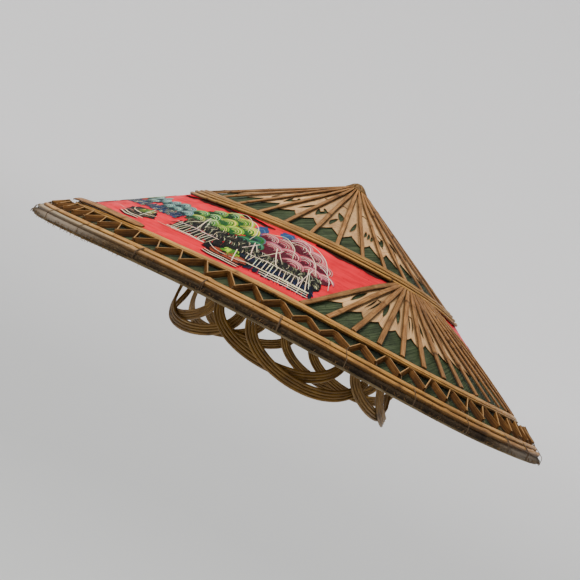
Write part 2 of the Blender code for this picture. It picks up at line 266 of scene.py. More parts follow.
def unit(vectors):
    """Vectors scaled to length 1."""
    return vectors / np.linalg.norm(vectors, axis=-1, keepdims=True)


def wobble(stations, size, longest=0.14):
    """Smooth unevenness of hand work at stations in metres."""
    total = np.zeros_like(stations)
    for term in range(1, 5):
        total += np.sin(math.tau * stations * term ** 1.3 / longest + rng.uniform(0, math.tau)) / term
    return size * total / 2


def bumps(stations, centres, width):
    """Bell-shaped bumps of height 1 at centres along stations."""
    total = np.zeros_like(stations)
    for centre in centres:
        total += np.exp(-((stations - centre) / width) ** 2)
    return total


def brim_sway(azimuths):
    """How far the rim hoops stray from their circles."""
    return bells(azimuths, BRIM_SWAY) * MM


def mid_sway(azimuths):
    """How far the middle hoop strays from its circle."""
    return bells(azimuths, MID_SWAY) * MM


def fold_sway(azimuths):
    """How far the inner corners of the zigzag stray from their circle."""
    return bells(azimuths, FOLD_SWAY) * MM


def crown_sway(azimuths, share=0.0):
    """How far the upper hoop strays from its circle, from its inner edge (share 0) to its outer one (1)."""
    inner = bells(azimuths, CROWN_SWAY_INNER)
    outer = bells(azimuths, CROWN_SWAY_OUTER)
    return (inner + (outer - inner) * share) * MM


# ---------------------------------------------------------------- meshes

class Bundle:
    """A mesh under construction, with the grain of its points, their worn spots and painted shade, and their
    brush paint.
    """

    def __init__(self):
        self.points = []
        self.faces = []
        self.grain = []
        self.wear_and_shade = []
        self.paint = []
        self.count = 0

    def add(self, points, faces, grain, wear_and_shade=0.0, paint=(0, 0, 0)):
        """Add points (n, 3) and faces that index them."""
        size = len(points)
        self.points.append(points)
        self.faces += [[index + self.count for index in face] for face in faces]
        self.grain.append(np.broadcast_to(grain, (size, 3)))
        self.wear_and_shade.append(np.broadcast_to(wear_and_shade, size))
        self.paint.append(np.broadcast_to((*paint, 1), (size, 4)))
        self.count += size


def ring_quads(rings, sides):
    """Faces between closed rings of points that follow one another."""
    ring = np.arange(sides)
    after = (ring + 1) % sides
    base = (np.arange(rings - 1) * sides)[:, None]
    quads = np.stack([base + ring, base + after, base + sides + after, base + sides + ring], axis=-1)
    return quads.reshape(-1, 4)


def sweep(bundle, path, up, widths, depths, section=SPLIT, wear_and_shade=0.0, paint=(0, 0, 0)):
    """Sweep a section along a path of points, its depth pointing along up. Its ends are closed."""
    path = np.asarray(path, float)
    count = len(path)
    ahead = unit(np.gradient(path, axis=0))
    side = unit(np.cross(up, ahead))
    rise = np.cross(ahead, side)
    section = np.array(section, float)
    sides = len(section)
    across = section[:, 0] * np.broadcast_to(widths, count)[:, None] / 2
    depth = section[:, 1] * np.broadcast_to(depths, count)[:, None]
    points = path[:, None] + side[:, None] * across[..., None] + rise[:, None] * depth[..., None]
    along = rng.uniform(0, 10) + distances(path)
    grain = stacked(along[:, None], across + 0.7 * depth, rng.random())
    wear_and_shade = np.array(wear_and_shade, float)
    wear_and_shade = np.broadcast_to(wear_and_shade[:, None] if wear_and_shade.ndim == 1 else wear_and_shade, (count, sides))

    half = np.arange(sides // 2 - 1)
    cap = np.stack([half, half + 1, sides - 2 - half, sides - 1 - half], axis=-1)
    faces = np.concatenate([ring_quads(count, sides), cap[:, ::-1], cap + (count - 1) * sides]).tolist()
    bundle.add(points.reshape(-1, 3), faces, grain.reshape(-1, 3), wear_and_shade.reshape(-1), paint)


def cane(bundle, path, up, diameter, wear_and_shade=0.0):
    """Round strand along a path, centred on it."""
    diameters = np.broadcast_to(diameter, len(path))
    sweep(bundle, path - np.asarray(up) * diameters[:, None] / 2, up, diameters, diameters, CANE, wear_and_shade)


def cut_sheet(bundle, place, field, columns, rows, painted_shade=None):
    """Sheet over a grid of column and row shares (0 to 1), kept where field(u, v) is 0 or more.

    It is cut along the line where the field is 0. place(u, v, field value) returns points and grain. The cut
    edges are dark, and the last argument, a function of (u, v), adds painted shade to the rest.
    """
    grid_u, grid_v = np.meshgrid(columns, rows, indexing="ij")
    values = field(grid_u, grid_v)
    across = len(rows)
    corners = np.arange(len(columns) - 1)[:, None] * across + np.arange(across - 1)
    cells = np.stack([corners, corners + across, corners + across + 1, corners + 1], axis=-1).reshape(-1, 4)
    u = list(grid_u.ravel())
    v = list(grid_v.ravel())
    f = list(values.ravel())
    inside = values.ravel() >= 0
    kept = inside[cells].sum(axis=1)
    faces = cells[kept == 4].tolist()
    border = {}
    for cell in cells[(kept > 0) & (kept < 4)].tolist():
        outline = []
        for start, end in zip(cell, cell[1:] + cell[:1]):
            if inside[start]:
                outline.append(start)
            if inside[start] != inside[end]:
                key = (min(start, end), max(start, end))
                if key not in border:
                    share = f[key[0]] / (f[key[0]] - f[key[1]])
                    border[key] = len(u)
                    u.append(u[key[0]] + (u[key[1]] - u[key[0]]) * share)
                    v.append(v[key[0]] + (v[key[1]] - v[key[0]]) * share)
                    f.append(0.0)
                outline.append(border[key])
        if len(outline) > 2:
            faces.append(outline)
    used = sorted({index for face in faces for index in face})
    number = {old: new for new, old in enumerate(used)}
    faces = [[number[index] for index in face] for face in faces]
    u, v, f = (np.array(values)[used] for values in (u, v, f))
    points, grain = place(u, v, f)
    wear_and_shade = np.clip(1 - f / (0.55 * MM), 0, 1)
    # Painted shade from the last argument.
    if painted_shade:
        wear_and_shade = np.clip(wear_and_shade + painted_shade(u, v), -1, 1)
    bundle.add(points, faces, grain, wear_and_shade)


def whole(u, _):
    """Field of a sheet without cuts."""
    return 1 + 0 * u


def curled(edge, height, reach):
    """How far a sheet curls up near a cut edge."""
    return height * np.exp(-edge / reach)


def add_object(name, data):
    """Object with its data, in the scene."""
    thing = bpy.data.objects.new(name, data)
    bpy.context.scene.collection.objects.link(thing)
    return thing


def piece(name, bundle, material, slot, *nodes, thickness=0.0, crease=38):
    """Object from a bundle, riding on the hat in place of its CAD nodes."""
    mesh = bpy.data.meshes.new(name)
    mesh.from_pydata(np.concatenate(bundle.points).tolist(), [], bundle.faces)
    for key, kind, field, values in (("grain", "FLOAT_VECTOR", "vector", bundle.grain),
                                     ("wear_and_shade", "FLOAT", "value", bundle.wear_and_shade),
                                     ("paint", "FLOAT_COLOR", "color", bundle.paint)):
        attribute = mesh.attributes.new(key, kind, "POINT")
        attribute.data.foreach_set(field, np.concatenate(values).astype(np.float32).ravel())
    mesh.materials.append(material)
    mesh.shade_smooth()
    mesh.set_sharp_from_angle(angle=math.radians(crease))
    thing = add_object(name, mesh)
    if thickness:
        modifier = thing.modifiers.new("thickness", "SOLIDIFY")
        modifier.thickness = thickness
        modifier.offset = 1
    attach(thing, "root")
    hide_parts(*nodes)


# ---------------------------------------------------------------- materials

def pigment(code):
    """Linear colour of an sRGB hex code."""
    channels = [int(code[start:start + 2], 16) / 255 for start in (0, 2, 4)]
    return tuple(value / 12.92 if value <= 0.04045 else ((value + 0.055) / 1.055) ** 2.4
                 for value in channels)


def add_node(tree, kind, values=(), **settings):
    """Add a node; values gives its inputs constants or sockets."""
    made = tree.nodes.new(kind)
    for name, value in settings.items():
        setattr(made, name, value)
    for key, value in dict(values).items():
        if isinstance(value, bpy.types.NodeSocket):
            tree.links.new(value, made.inputs[key])
        else:
            made.inputs[key].default_value = value
    return made


def noise(tree, vector, scale, detail=2):
    """Noise value at a vector."""
    return add_node(tree, "ShaderNodeTexNoise", {
        "Vector": vector, "Scale": scale, "Detail": detail, "Roughness": 0.6}).outputs[0]


def remap(tree, value, *, low=0.0, high=1.0, to_low=0.0, to_high=1.0):
    """Value stretched from one range to another, and kept inside it."""
    return add_node(tree, "ShaderNodeMapRange", {
        "Value": value, "From Min": low, "From Max": high, "To Min": to_low, "To Max": to_high}).outputs[0]


def ramp(tree, value, *stops):
    """Colours or greys at positions of a value."""
    made = add_node(tree, "ShaderNodeValToRGB", {0: value})
    elements = made.color_ramp.elements
    while len(elements) < len(stops):
        elements.new(0.5)
    for element, (position, colour) in zip(elements, stops):
        element.position = position
        element.color = (*colour, 1) if isinstance(colour, tuple) else (colour, colour, colour, 1)
    return made.outputs[0]


def mix(tree, share, first, second, blend="MIX"):
    """Blend of two colours."""
    values = {0: share}
    for key, value in ((6, first), (7, second)):
        values[key] = (*value, 1) if isinstance(value, tuple) else value
    return add_node(tree, "ShaderNodeMix", values, data_type="RGBA", blend_type=blend).outputs[2]


def maths(tree, operation, first, second=0.5, clamp=True):
    """One arithmetic step."""
    return add_node(tree, "ShaderNodeMath", {0: first, 1: second}, operation=operation,
                    use_clamp=clamp).outputs[0]


def grained(name, dark, middle, light, stain, stretch=(70, 2300), pale=None, rough=(0.4, 0.65),
            bump=0.25, blotch=55, stain_share=0.6, spots=0.0, shade_spread=0.4, gloss=0.1, painted=False,
            patina=None):
    """Fibrous material: streaks along the grain, blotches, spots, a tone for each strip, worn edges and
    painted shade.
    """
    material = bpy.data.materials.new(name)
    material.use_nodes = True
    tree = material.node_tree
    shader = tree.nodes["Principled BSDF"]
    place = add_node(tree, "ShaderNodeTexCoord").outputs["Object"]
    grain = add_node(tree, "ShaderNodeAttribute", attribute_name="grain").outputs["Vector"]
    wear_and_shade = add_node(tree, "ShaderNodeAttribute", attribute_name="wear_and_shade").outputs["Fac"]
    shade = add_node(tree, "ShaderNodeSeparateXYZ", {0: grain}).outputs[2]
    stretched = add_node(tree, "ShaderNodeVectorMath", {0: grain, 1: (*stretch, 41)}, operation="MULTIPLY")
    streaks = noise(tree, stretched.outputs[0], 1.0, detail=5)
    if painted:
        colour = add_node(tree, "ShaderNodeAttribute", attribute_name="paint").outputs["Color"]
        colour = mix(tree, 0.55, colour, ramp(tree, streaks, (0.3, dark), (0.7, light)), "MULTIPLY")
    else:
        colour = ramp(tree, streaks, (0.28, dark), (0.48, middle), (0.68, light))
    blotches = noise(tree, place, blotch, detail=3)
    blotch_share = maths(tree, "MULTIPLY", ramp(tree, blotches, (0.45, 0.0), (0.72, 1.0)), stain_share)
    colour = mix(tree, blotch_share, colour, stain)
    brightness = remap(tree, shade, to_low=1 - shade_spread / 2, to_high=1 + shade_spread / 2)
    colour = mix(tree, 1.0, colour, brightness, "MULTIPLY")
    if patina:
        grey, azimuth = patina
        toward = (math.sin(math.radians(azimuth)), -math.cos(math.radians(azimuth)), 0)
        facing = add_node(tree, "ShaderNodeVectorMath", {0: place, 1: toward}, operation="DOT_PRODUCT")
        share = remap(tree, facing.outputs["Value"], low=0.45 * RIM_RADIUS, high=0.75 * RIM_RADIUS)
        colour = mix(tree, maths(tree, "MULTIPLY", share, maths(tree, "ADD", blotches, 0.35)), colour, grey)
    if spots:
        specks = ramp(tree, noise(tree, place, 520), (0.62, 0.0), (0.7, 1.0))
        patches = ramp(tree, noise(tree, place, 28), (0.45, 0.0), (0.6, spots))
        colour = mix(tree, maths(tree, "MULTIPLY", specks, patches), colour, tuple(c * 0.25 for c in dark))
    ragged = noise(tree, place, 900)
    # Worn marks and painted shade darken the colour; pale worn marks below 0 lighten it.
    darkened = maths(tree, "MULTIPLY", wear_and_shade, maths(tree, "ADD", ragged, 0.42))
    colour = mix(tree, darkened, colour, tuple(c * 0.3 for c in dark))
    paled = maths(tree, "MULTIPLY", maths(tree, "MULTIPLY", wear_and_shade, -1.0), maths(tree, "ADD", ragged, 0.3))
    colour = mix(tree, paled, colour, pale or light)
    roughness = remap(tree, streaks, low=0.3, high=0.7, to_low=rough[1], to_high=rough[0])
    height = maths(tree, "ADD", streaks, maths(tree, "MULTIPLY", blotches, 0.4), clamp=False)
    normal = add_node(tree, "ShaderNodeBump", {
        "Height": height, "Strength": 0.8, "Distance": bump * MM}).outputs[0]
    tree.links.new(colour, shader.inputs["Base Color"])
    tree.links.new(roughness, shader.inputs["Roughness"])
    tree.links.new(normal, shader.inputs["Normal"])
    shader.inputs["Specular IOR Level"].default_value = gloss
    return material


def make_materials():
    """Every material of the hat, each with its dark, middle and light streaks and its stains."""
    def made(name, *codes, pale=None, patina=None, **settings):
        if pale:
            settings["pale"] = pigment(pale)
        if patina:
            settings["patina"] = (pigment(patina[0]), patina[1])
        return grained(name, *(pigment(code) for code in codes), **settings)

    return {
        "rib": made("rib_bamboo", "523418", "7E5630", "A07848", "4E3218", spots=0.5),
        "hoop": made("hoop_bamboo", "64401C", "94682E", "B48C46", "5C3A18", spots=0.6, rough=(0.35, 0.6),
                     gloss=0.2),
        "zigzag": made("zigzag_bamboo", "341E0E", "583818", "7A542A", "2C1A0C", pale="96744A",
                       shade_spread=0.6),
        "rim": made("rim_bamboo", "5C3C18", "8C622C", "AE8444", "52341A", spots=1.0, rough=(0.35, 0.6),
                    gloss=0.2),
        "rim_edge": made("rim_bamboo_edge", "5C3C1A", "8A602C", "A87E42", "52341A", spots=1.0,
                         rough=(0.35, 0.65), gloss=0.2, patina=("7E7460", -28)),
        "bark": made("rim_bark", "160E08", "34281A", "5C4A30", "120C08", pale="96897A", spots=1.0, bump=0.5,
                     rough=(0.65, 0.95), stretch=(160, 900), stain_share=0.85),
        "weathered": made("weathered_cane", "4A3C28", "7A684A", "988464", "54442E", spots=1.0, bump=0.35,
                          rough=(0.5, 0.8)),
        "green": made("leaf_green", "1A2012", "343E28", "4A5438", "1E2218", stretch=(60, 700), bump=0.4,
                      rough=(0.5, 0.8), spots=0.7, blotch=80),
        "tan": made("leaf_tan", "86603C", "AC885C", "C4A076", "7E5634", stretch=(45, 1500), rough=(0.6, 0.85),
                    bump=0.2, stain_share=0.5, spots=0.4),
        # Near-black under layer of leaf: its own brown darkened as painted shade in the panel's slits.
        "shaded_underleaf": made("shaded_underleaf", "120806", "2A120C", "44201A", "0E0606", rough=(0.6, 0.9)),
        "lining_leaf": made("lining_leaf", "4E3A20", "70582F", "8A7044", "4A3A20", stretch=(60, 900),
                            bump=0.3, rough=(0.6, 0.85)),
        "weave": made("lining_weave", "74562C", "9C7A46", "B69660", "70522A"),
        "red": made("painted_leaf", "A81220", "C41828", "D02432", "8E1019", stretch=(40, 260), bump=0.2,
                    rough=(0.4, 0.6), stain_share=0.5, shade_spread=0.0, blotch=45, spots=0.3, gloss=0.04),
        "paint": made("brush_paint", "8A8A8A", "C8C8C8", "FFFFFF", "4A4640", stretch=(150, 2600),
                      rough=(0.4, 0.6), stain_share=0.1, painted=True, shade_spread=0.25, gloss=0.04),
        "straw": made("frayed_straw", "4A3018", "80603A", "A2835A", "44301E", rough=(0.6, 0.9)),
        "rattan": made("rattan", "483016", "745628", "967438", "4C3418", spots=0.5, rough=(0.35, 0.55),
                       gloss=0.3),
        "wire": made("binding_wire", "2A2018", "4A3A2A", "6A5A44", "2A2018", rough=(0.4, 0.65)),
    }


# ---------------------------------------------------------------- parts of the hat

def leaf_cover(materials):
    """Green painted leaf over the whole cone, with veins, shallow puckers and painted shade under the middle
    hoop.
    """
    bundle = Bundle()
    hole = 4 * MM
    puckers = [(rng.integers(9, 60), rng.uniform(20, 90), rng.uniform(0, math.tau)) for _ in range(7)]

    def place(u, v, _):
        azimuths = 360 * u
        radii = hole + (SKIN_EDGE - hole) * v
        lifts = np.full_like(radii, 0.45 * MM)
        for turns, wave, phase in puckers:
            lifts += 0.07 * MM * np.sin(turns * np.radians(azimuths) + wave * v + phase)
        grain = stacked(radii, np.radians(azimuths) * radii, 0.5)
        return cone_points(azimuths, radii, lifts), grain

    # Painted shade in the recess under the middle hoop, on a sheet made a little darker all over.
    def painted_shade(u, v):
        radii = hole + (SKIN_EDGE - hole) * v - mid_sway(360 * u)
        return 0.95 * np.exp(-((radii - 202 * MM) / (4.5 * MM)) ** 2) + 0.25

    cut_sheet(bundle, place, whole, shares(361), shares(90), painted_shade)
    piece("leaf_cover_sheet", bundle, materials["green"], "leaf_green", "leaf_cover", thickness=0.3 * MM)


def lenses(x, y, motif):
    """Signed field, negative inside a motif: bent lens-shaped cuts in millimetres.

    Each cut is (x, y, length, width, tilt in degrees, bend).
    """
    field = np.full_like(x, 10 * MM)
    for centre_x, centre_y, length, width, tilt, bend in motif:
        turn = math.radians(tilt)
        local_x = x / MM - centre_x
        local_y = y / MM - centre_y
        along = local_x * math.sin(turn) + local_y * math.cos(turn)
        aside = local_x * math.cos(turn) - local_y * math.sin(turn)
        bow = 1 - (2 * along / length) ** 2
        field = np.minimum(field, (np.abs(aside - bend * bow) - width / 2 * bow) * MM)
    return field


def sector_of(u, count):
    """Sector between two ribs at a column share, and the place across that sector from -1 to 1."""
    sectors = np.clip(np.floor(u * count), 0, count - 1).astype(int)
    return sectors, (u * count - sectors - 0.5) * 2


def beside_rib(u, count, spacing):
    """Distance from the middle of the nearest rib."""
    return np.abs((u * count + 0.5) % 1 - 0.5) * spacing


# Cut motifs of the crown leaf: flame, barred leaf, gull, ripple, slash and hatched bud.
CROWN_MOTIFS = (
    ((0.6, 5.5, 15, 4.4, -20, 1.1), (-1.2, -6, 15, 3.4, 14, -1.1)),
    ((0, 1.5, 15, 5.4, 0, 0), (2.6, 8, 8, 2.0, 24, 0), (-2.6, 7.5, 6, 1.6, -30, 0)),
    ((-2.8, -1, 14, 2.8, -14, 0.6), (1.6, 1.0, 13, 3.4, 22, -0.8), (0.8, 6.5, 8, 2.2, -40, 0)),
    ((0.8, 8, 13, 2.4, 14, 0.9), (-0.8, -2, 13, 3.0, -16, -1.1), (1.8, -10, 8, 2.0, 34, 0.3)),
    ((0.4, 1, 19, 2.6, 14, 0.7),),
    ((-2.3, 1, 11, 2.0, 18, 0.5), (0.6, 0.5, 12, 2.0, 18, 0.5), (3.4, -0.5, 10, 1.9, 18, 0.5)),
)
# Small nicks further up the crown leaf.
CROWN_NICKS = ((-1.1, 0.4, 4.2, 1.1, 78, 0.2), (1.5, -0.6, 3.2, 1.0, 96, 0.2))


def crown_leaf(materials):
    """Cut leaf under the crown ribs: an arch and a motif between each two ribs, and painted shade beside the
    ribs.
    """
    bundle = Bundle()
    outer = LEAF_RIB_RADIUS + 2 * MM
    motifs = rng.permutation(np.arange(RIB_COUNT) % len(CROWN_MOTIFS))
    arch_jitter = rng.uniform(-1.6, 1.4, RIB_COUNT) * MM
    motif_jitter = rng.uniform(-1.5, 1.5, RIB_COUNT) * MM

    def polar(u, v):
        return RIB_START + 360 * u, LEAF_INNER + (outer - LEAF_INNER) * v

    def field(u, v):
        radii = polar(u, v)[1]
        sectors, offset = sector_of(u, RIB_COUNT)
        edge = LEAF_ARCH_RADIUS + arch_jitter[sectors] * (1 - np.abs(offset))
        edge = edge + (LEAF_RIB_RADIUS - LEAF_ARCH_RADIUS) * np.abs(offset) ** 0.85
        edge = edge + 0.25 * MM * np.sin(90 * u * RIB_COUNT / 7)
        kept = edge - radii
        x = np.radians(offset * RIB_STEP / 2) * radii
        y = MOTIF_RADIUS - radii
        for sector in range(RIB_COUNT):
            inside = sectors == sector
            cut = lenses(x[inside], y[inside] + motif_jitter[sector], CROWN_MOTIFS[motifs[sector]])
            if sector % 2:
                cut = np.minimum(cut, lenses(x[inside], y[inside] - 27 * MM, CROWN_NICKS))
            kept[inside] = np.minimum(kept[inside], cut)
        return kept

    def place(u, v, edge):
        azimuths, radii = polar(u, v)
        curl = curled(edge, 0.35 * MM, 1.1 * MM) * (0.5 + 0.5 * np.sin(23 * u * RIB_COUNT / 5))
        waves = 0.08 * MM * np.sin(radii * 700 + 5 * np.sin(u * 97))
        grain = stacked(radii, np.radians(azimuths) * radii, 0.5 + 0.5 * np.sin(31 * u))
        return cone_points(azimuths, radii, SHEET_LIFT + curl + waves), grain

    # Painted shade on the leaf beside each rib.
    def painted_shade(u, v):
        beside = beside_rib(u, RIB_COUNT, math.radians(RIB_STEP) * polar(u, v)[1])
        return 0.8 * np.exp(-((beside - 1.7 * MM) / (0.9 * MM)) ** 2)

    fine = (outer - LEAF_FINE_RADIUS) / MM / 0.85
    split = (LEAF_FINE_RADIUS - LEAF_INNER) / (outer - LEAF_INNER)
    rows = np.concatenate([np.linspace(0, split, 9)[:-1], np.linspace(split, 1, int(fine))])
    cut_sheet(bundle, place, field, shares(RIB_COUNT * 18 + 1), rows, painted_shade)
    piece("crown_leaf_cut", bundle, materials["tan"], "leaf_tan", "crown_leaf", thickness=SHEET_THICKNESS)


def split_strip(bundle, azimuths, radii, lifts, width, thickness=RIB_THICKNESS, joints=2):
    """Split-bamboo strip on the cone, with a few stem joints along it and painted shade down its sides."""
    path = cone_points(azimuths, radii, lifts)
    stations = distances(path)
    centres = rng.uniform(0.05, 0.95, joints) * stations[-1]
    ridges = bumps(stations, centres, 1.3 * MM)
    widths = width * (1 + wobble(stations, 0.05, 0.05)) + 0.35 * MM * ridges
    depths = thickness * (1 + 0.22 * ridges)
    wear_and_shade = 0.9 * bumps(stations, centres + 1.4 * MM, 0.7 * MM) - 0.15 * ridges
    # Painted shade down the sides of the strip, over the dark marks beside its joints.
    wear_and_shade = np.clip(wear_and_shade[:, None] + np.array(PAINTED_SIDE_SHADE), -1, 1)
    sweep(bundle, path, cone_normals(azimuths, radii), widths, depths, SPLIT, wear_and_shade)


def crown_ribs(materials):
    """Crown ribs in folded pairs, each rib running down from the apex to the upper hoop."""
    for pair in range(RIB_COUNT // 2):
        bundle = Bundle()
        for half in range(2):
            azimuth = RIB_START + (2 * pair + half) * RIB_STEP
            end = UPPER_HOOP_OUTER - UPPER_HOOP_WIDTH + crown_sway(azimuth) - 0.2 * MM
            radii = np.linspace(RIB_TOP_RADIUS, end, 46)
            share = np.clip((radii - RIB_TOP_RADIUS) / (RIB_FULL_RADIUS - RIB_TOP_RADIUS), 0, 1)
            widths = RIB_WIDTH * (0.38 + 0.62 * share) * rng.uniform(0.88, 1.06)
            bend = np.degrees(wobble(radii, 0.5 * MM, 0.2) / radii)
            lifts = RIB_LIFT + wobble(radii, 0.1 * MM) + 0.2 * MM * (1 - share)
            split_strip(bundle, azimuth + bend, radii, lifts, widths)
        number = f"{pair + 1:02d}"
        piece(f"split_rib_pair_{number}", bundle, materials["rib"], "rib_bamboo", f"crown_rib_pair_{number}")


def ring_strip(bundle, radius, lift, width, thickness, joints=9, start=None, waver=0.25, sway=brim_sway):
    """Strip bent into a full hoop on the cone; its two ends meet at start."""
    if start is None:
        start = rng.uniform(150, 260)
    azimuths = np.arange(0, 360.1 + ARC_STEP / 2, ARC_STEP) + start
    stations = np.radians(azimuths) * radius
    radii = radius + sway(azimuths) + wobble(stations, waver * MM, 0.31)
    lifts = lift + wobble(stations, 0.12 * MM, 0.23)
    split_strip(bundle, azimuths, radii, lifts, width, thickness, joints)


def upper_hoop(materials):
    """Broad hoop of four split strips over the knee of the cone, with a thin packing strip under it."""
    bundle = Bundle()
    strips = 4
    pitch = UPPER_HOOP_WIDTH / strips
    for strip in range(strips):
        radius = UPPER_HOOP_OUTER - UPPER_HOOP_WIDTH + pitch * (strip + 0.5)
        lift = (2.7, 3.2, 3.1, 2.5)[strip] * MM

        def sway(azimuths, share=(strip + 0.5) / strips):
            return crown_sway(azimuths, share)

        ring_strip(bundle, radius, lift, pitch * 1.12, 1.7 * MM, waver=0.14, sway=sway)
    ring_strip(bundle, KNEE_RADIUS, 1.3 * MM, UPPER_HOOP_WIDTH * 0.8, 1.3 * MM, waver=0.0,
               sway=lambda azimuths: crown_sway(azimuths, 0.5))
    piece("upper_hoop_strips", bundle, materials["hoop"], "hoop_bamboo", "upper_hoop")


# Cut motifs of the fan leaf: slanting drops, a bracket of thin slits and a barred drop.
FAN_MOTIFS = (
    ((0.4, 0, 15, 2.8, 10, 0.5),),
    ((-0.4, 1, 17, 3.2, -6, -0.4),),
    ((-1.6, 0, 16, 1.1, 0, 0.7), (1.3, 0, 16, 1.1, 0, 0.7), (0, 7.4, 4.2, 1.0, 90, 0)),
    ((0.2, 3, 11, 2.8, 6, 0), (-0.4, -7, 7, 1.8, -10, 0)),
)
FAN_LEAF_START = 0.05
FAN_LEAF_END = 0.95
FAN_ARCH_RADIUS = 170.5 * MM
FAN_LEAF_RADIUS = 178 * MM
FAN_MOTIF_RADIUS = 157 * MM


def fan_leaf(side, azimuth, materials):
    """Cut leaf of one fan, with painted shade beside its ribs."""
    gaps = FAN_RIBS - 1
    motifs = rng.integers(0, len(FAN_MOTIFS), gaps)
    arch_jitter = rng.uniform(-1.2, 1.2, gaps) * MM

    def along_of(v):
        return FAN_LEAF_START + (FAN_LEAF_END - FAN_LEAF_START) * v

    def field(u, v):
        along = along_of(v)
        radii = fan_polar(azimuth, 2 * u - 1, along)[1]
        sectors, offset = sector_of(u, gaps)
        edge = FAN_ARCH_RADIUS + arch_jitter[sectors] * (1 - np.abs(offset))
        kept = edge + (FAN_LEAF_RADIUS - FAN_ARCH_RADIUS) * np.abs(offset) ** 0.8 - radii
        kept = np.minimum(kept, radii - FAN_HUB)
        x = offset * fan_spacing(gaps, along) / 2
        y = FAN_MOTIF_RADIUS - radii
        for sector in range(gaps):
            inside = sectors == sector
            cut = lenses(x[inside], y[inside], FAN_MOTIFS[motifs[sector]])
            kept[inside] = np.minimum(kept[inside], cut)
        return kept

    def place(u, v, edge):
        azimuths, radii = fan_polar(azimuth, 2 * u - 1, along_of(v))
        curl = curled(edge, 0.35 * MM, 1.1 * MM) * (0.5 + 0.5 * np.sin(19 * u * gaps / 3))
        grain = stacked(radii, u * 0.24, 0.5 + 0.5 * np.sin(37 * u))
        return cone_points(azimuths, radii, SHEET_LIFT + curl), grain

    # Painted shade on the leaf beside each rib.
    def painted_shade(u, v):
        beside = beside_rib(u, gaps, fan_spacing(gaps, along_of(v)))
        return 0.9 * np.exp(-((beside - 0.5 * FAN_RIB_WIDTH) / (0.8 * MM)) ** 2)

    leaf = Bundle()
    cut_sheet(leaf, place, field, np.linspace(0.005, 0.995, gaps * 18 + 1), shares(84), painted_shade)
    piece(f"fan_leaf_cut_{side}", leaf, materials["tan"], "leaf_tan", f"fan_leaf_{side}",
          thickness=SHEET_THICKNESS)


def fan_ribs(side, azimuth, materials):
    """Ribs of one fan, each as wide as its neighbours leave room for."""
    gaps = FAN_RIBS - 1
    ribs = Bundle()
    samples = shares(200)
    for rib in range(FAN_RIBS):
        across = 2 * rib / gaps - 1
        start = np.interp(FAN_HUB, fan_polar(azimuth, across, samples)[1], samples)
        alongs = np.linspace(start, 1.0, 44)
        azimuths, radii = fan_polar(azimuth, across, alongs)
        room = 0.1 * MM + 0.8 * fan_spacing(gaps, alongs)
        widths = np.minimum(FAN_RIB_WIDTH * rng.uniform(0.92, 1.05), room)
        azimuths = azimuths + np.degrees(wobble(radii, 0.3 * MM, 0.15) / radii)
        lifts = RIB_LIFT + (0.35 * MM if rib % 2 else 0) * np.exp(-alongs * 6)
        split_strip(ribs, azimuths, radii, lifts, widths)
    piece(f"fan_rib_strips_{side}", ribs, materials["rib"], "rib_bamboo", f"fan_ribs_{side}")


def mid_hoop(materials):
    """Hoop of two strips round the lower edge of the panels and fans."""
    bundle = Bundle()
    inner = MID_HOOP_OUTER - MID_HOOP_WIDTH
    ring_strip(bundle, inner + 2.0 * MM, 1.9 * MM, 3.9 * MM, 1.8 * MM, start=200, sway=mid_sway)
    ring_strip(bundle, MID_HOOP_OUTER - 0.7 * MM, HOOP_LIFT, 1.4 * MM, 1.9 * MM, waver=0.15, start=140,
               sway=mid_sway)
    piece("mid_hoop_strips", bundle, materials["hoop"], "hoop_bamboo", "mid_hoop")


def mid_hoop_splice(materials):
    """Loose end of the middle hoop, which lies over it."""
    splice = Bundle()
    share = shares(64)
    azimuths = np.interp(share, (0, 1), SPLICE_AZIMUTHS)
    radii = np.interp(share, (0, 1), SPLICE_RADII) + wobble(share * 0.15, 0.3 * MM)
    lifts = (5.8 - 1.6 * np.clip((share - 0.625) / 0.375, 0, 1)) * MM
    widths = SPLICE_WIDTH * np.clip((1.0 - share) * 14 + 0.45, 0, 1) * np.clip(share * 20 + 0.5, 0, 1)
    split_strip(splice, azimuths, radii, lifts, widths, 1.2 * MM)
    piece("mid_hoop_splice_strip", splice, materials["rib"], "hoop_bamboo", "mid_hoop_splice")


def zigzag(materials):
    """Strip on edge, folded to and fro."""
    bundle = Bundle()
    azimuths = []
    radii = []
    for corner in range(2 * ZIGZAG_PERIODS + 1):
        inner = corner % 2
        middle = corner * ZIGZAG_STEP + rng.uniform(-0.35, 0.35)
        radius = ZIGZAG_INNER + fold_sway(middle) if inner else ZIGZAG_OUTER + brim_sway(middle)
        radius += rng.uniform(-0.5, 0.3) * MM
        for offset in (-0.05, 0.05):
            azimuths.append(middle + offset * ZIGZAG_STEP)
            radii.append(radius)
    azimuths = np.array(azimuths)
    radii = np.array(radii)
    path = cone_points(azimuths, radii, HOOP_LIFT - 0.1 * MM)
    up = np.broadcast_to((0, 0, 1), path.shape) + 0.0
    leans = 0.12 * np.sin(np.arange(len(path)) * math.pi / 2 + 0.8)
    up[:, 0] += leans * np.cos(np.radians(azimuths))
    up[:, 1] += leans * np.sin(np.radians(azimuths))
    heights = ZIGZAG_HEIGHT * (1.1 + 0.06 * rng.standard_normal(len(path)))
    # Darker towards the foot of the strip, and pale along its top edge.
    wear_and_shade = np.tile((0.7, 0.7, 0.0, -1.0, -1.0, 0.0), (len(path), 1))
    sweep(bundle, path, unit(up), ZIGZAG_THICKNESS, heights, EDGEWISE, wear_and_shade)
    piece("zigzag_fold", bundle, materials["zigzag"], "zigzag_bamboo", "zigzag_strip", crease=15)


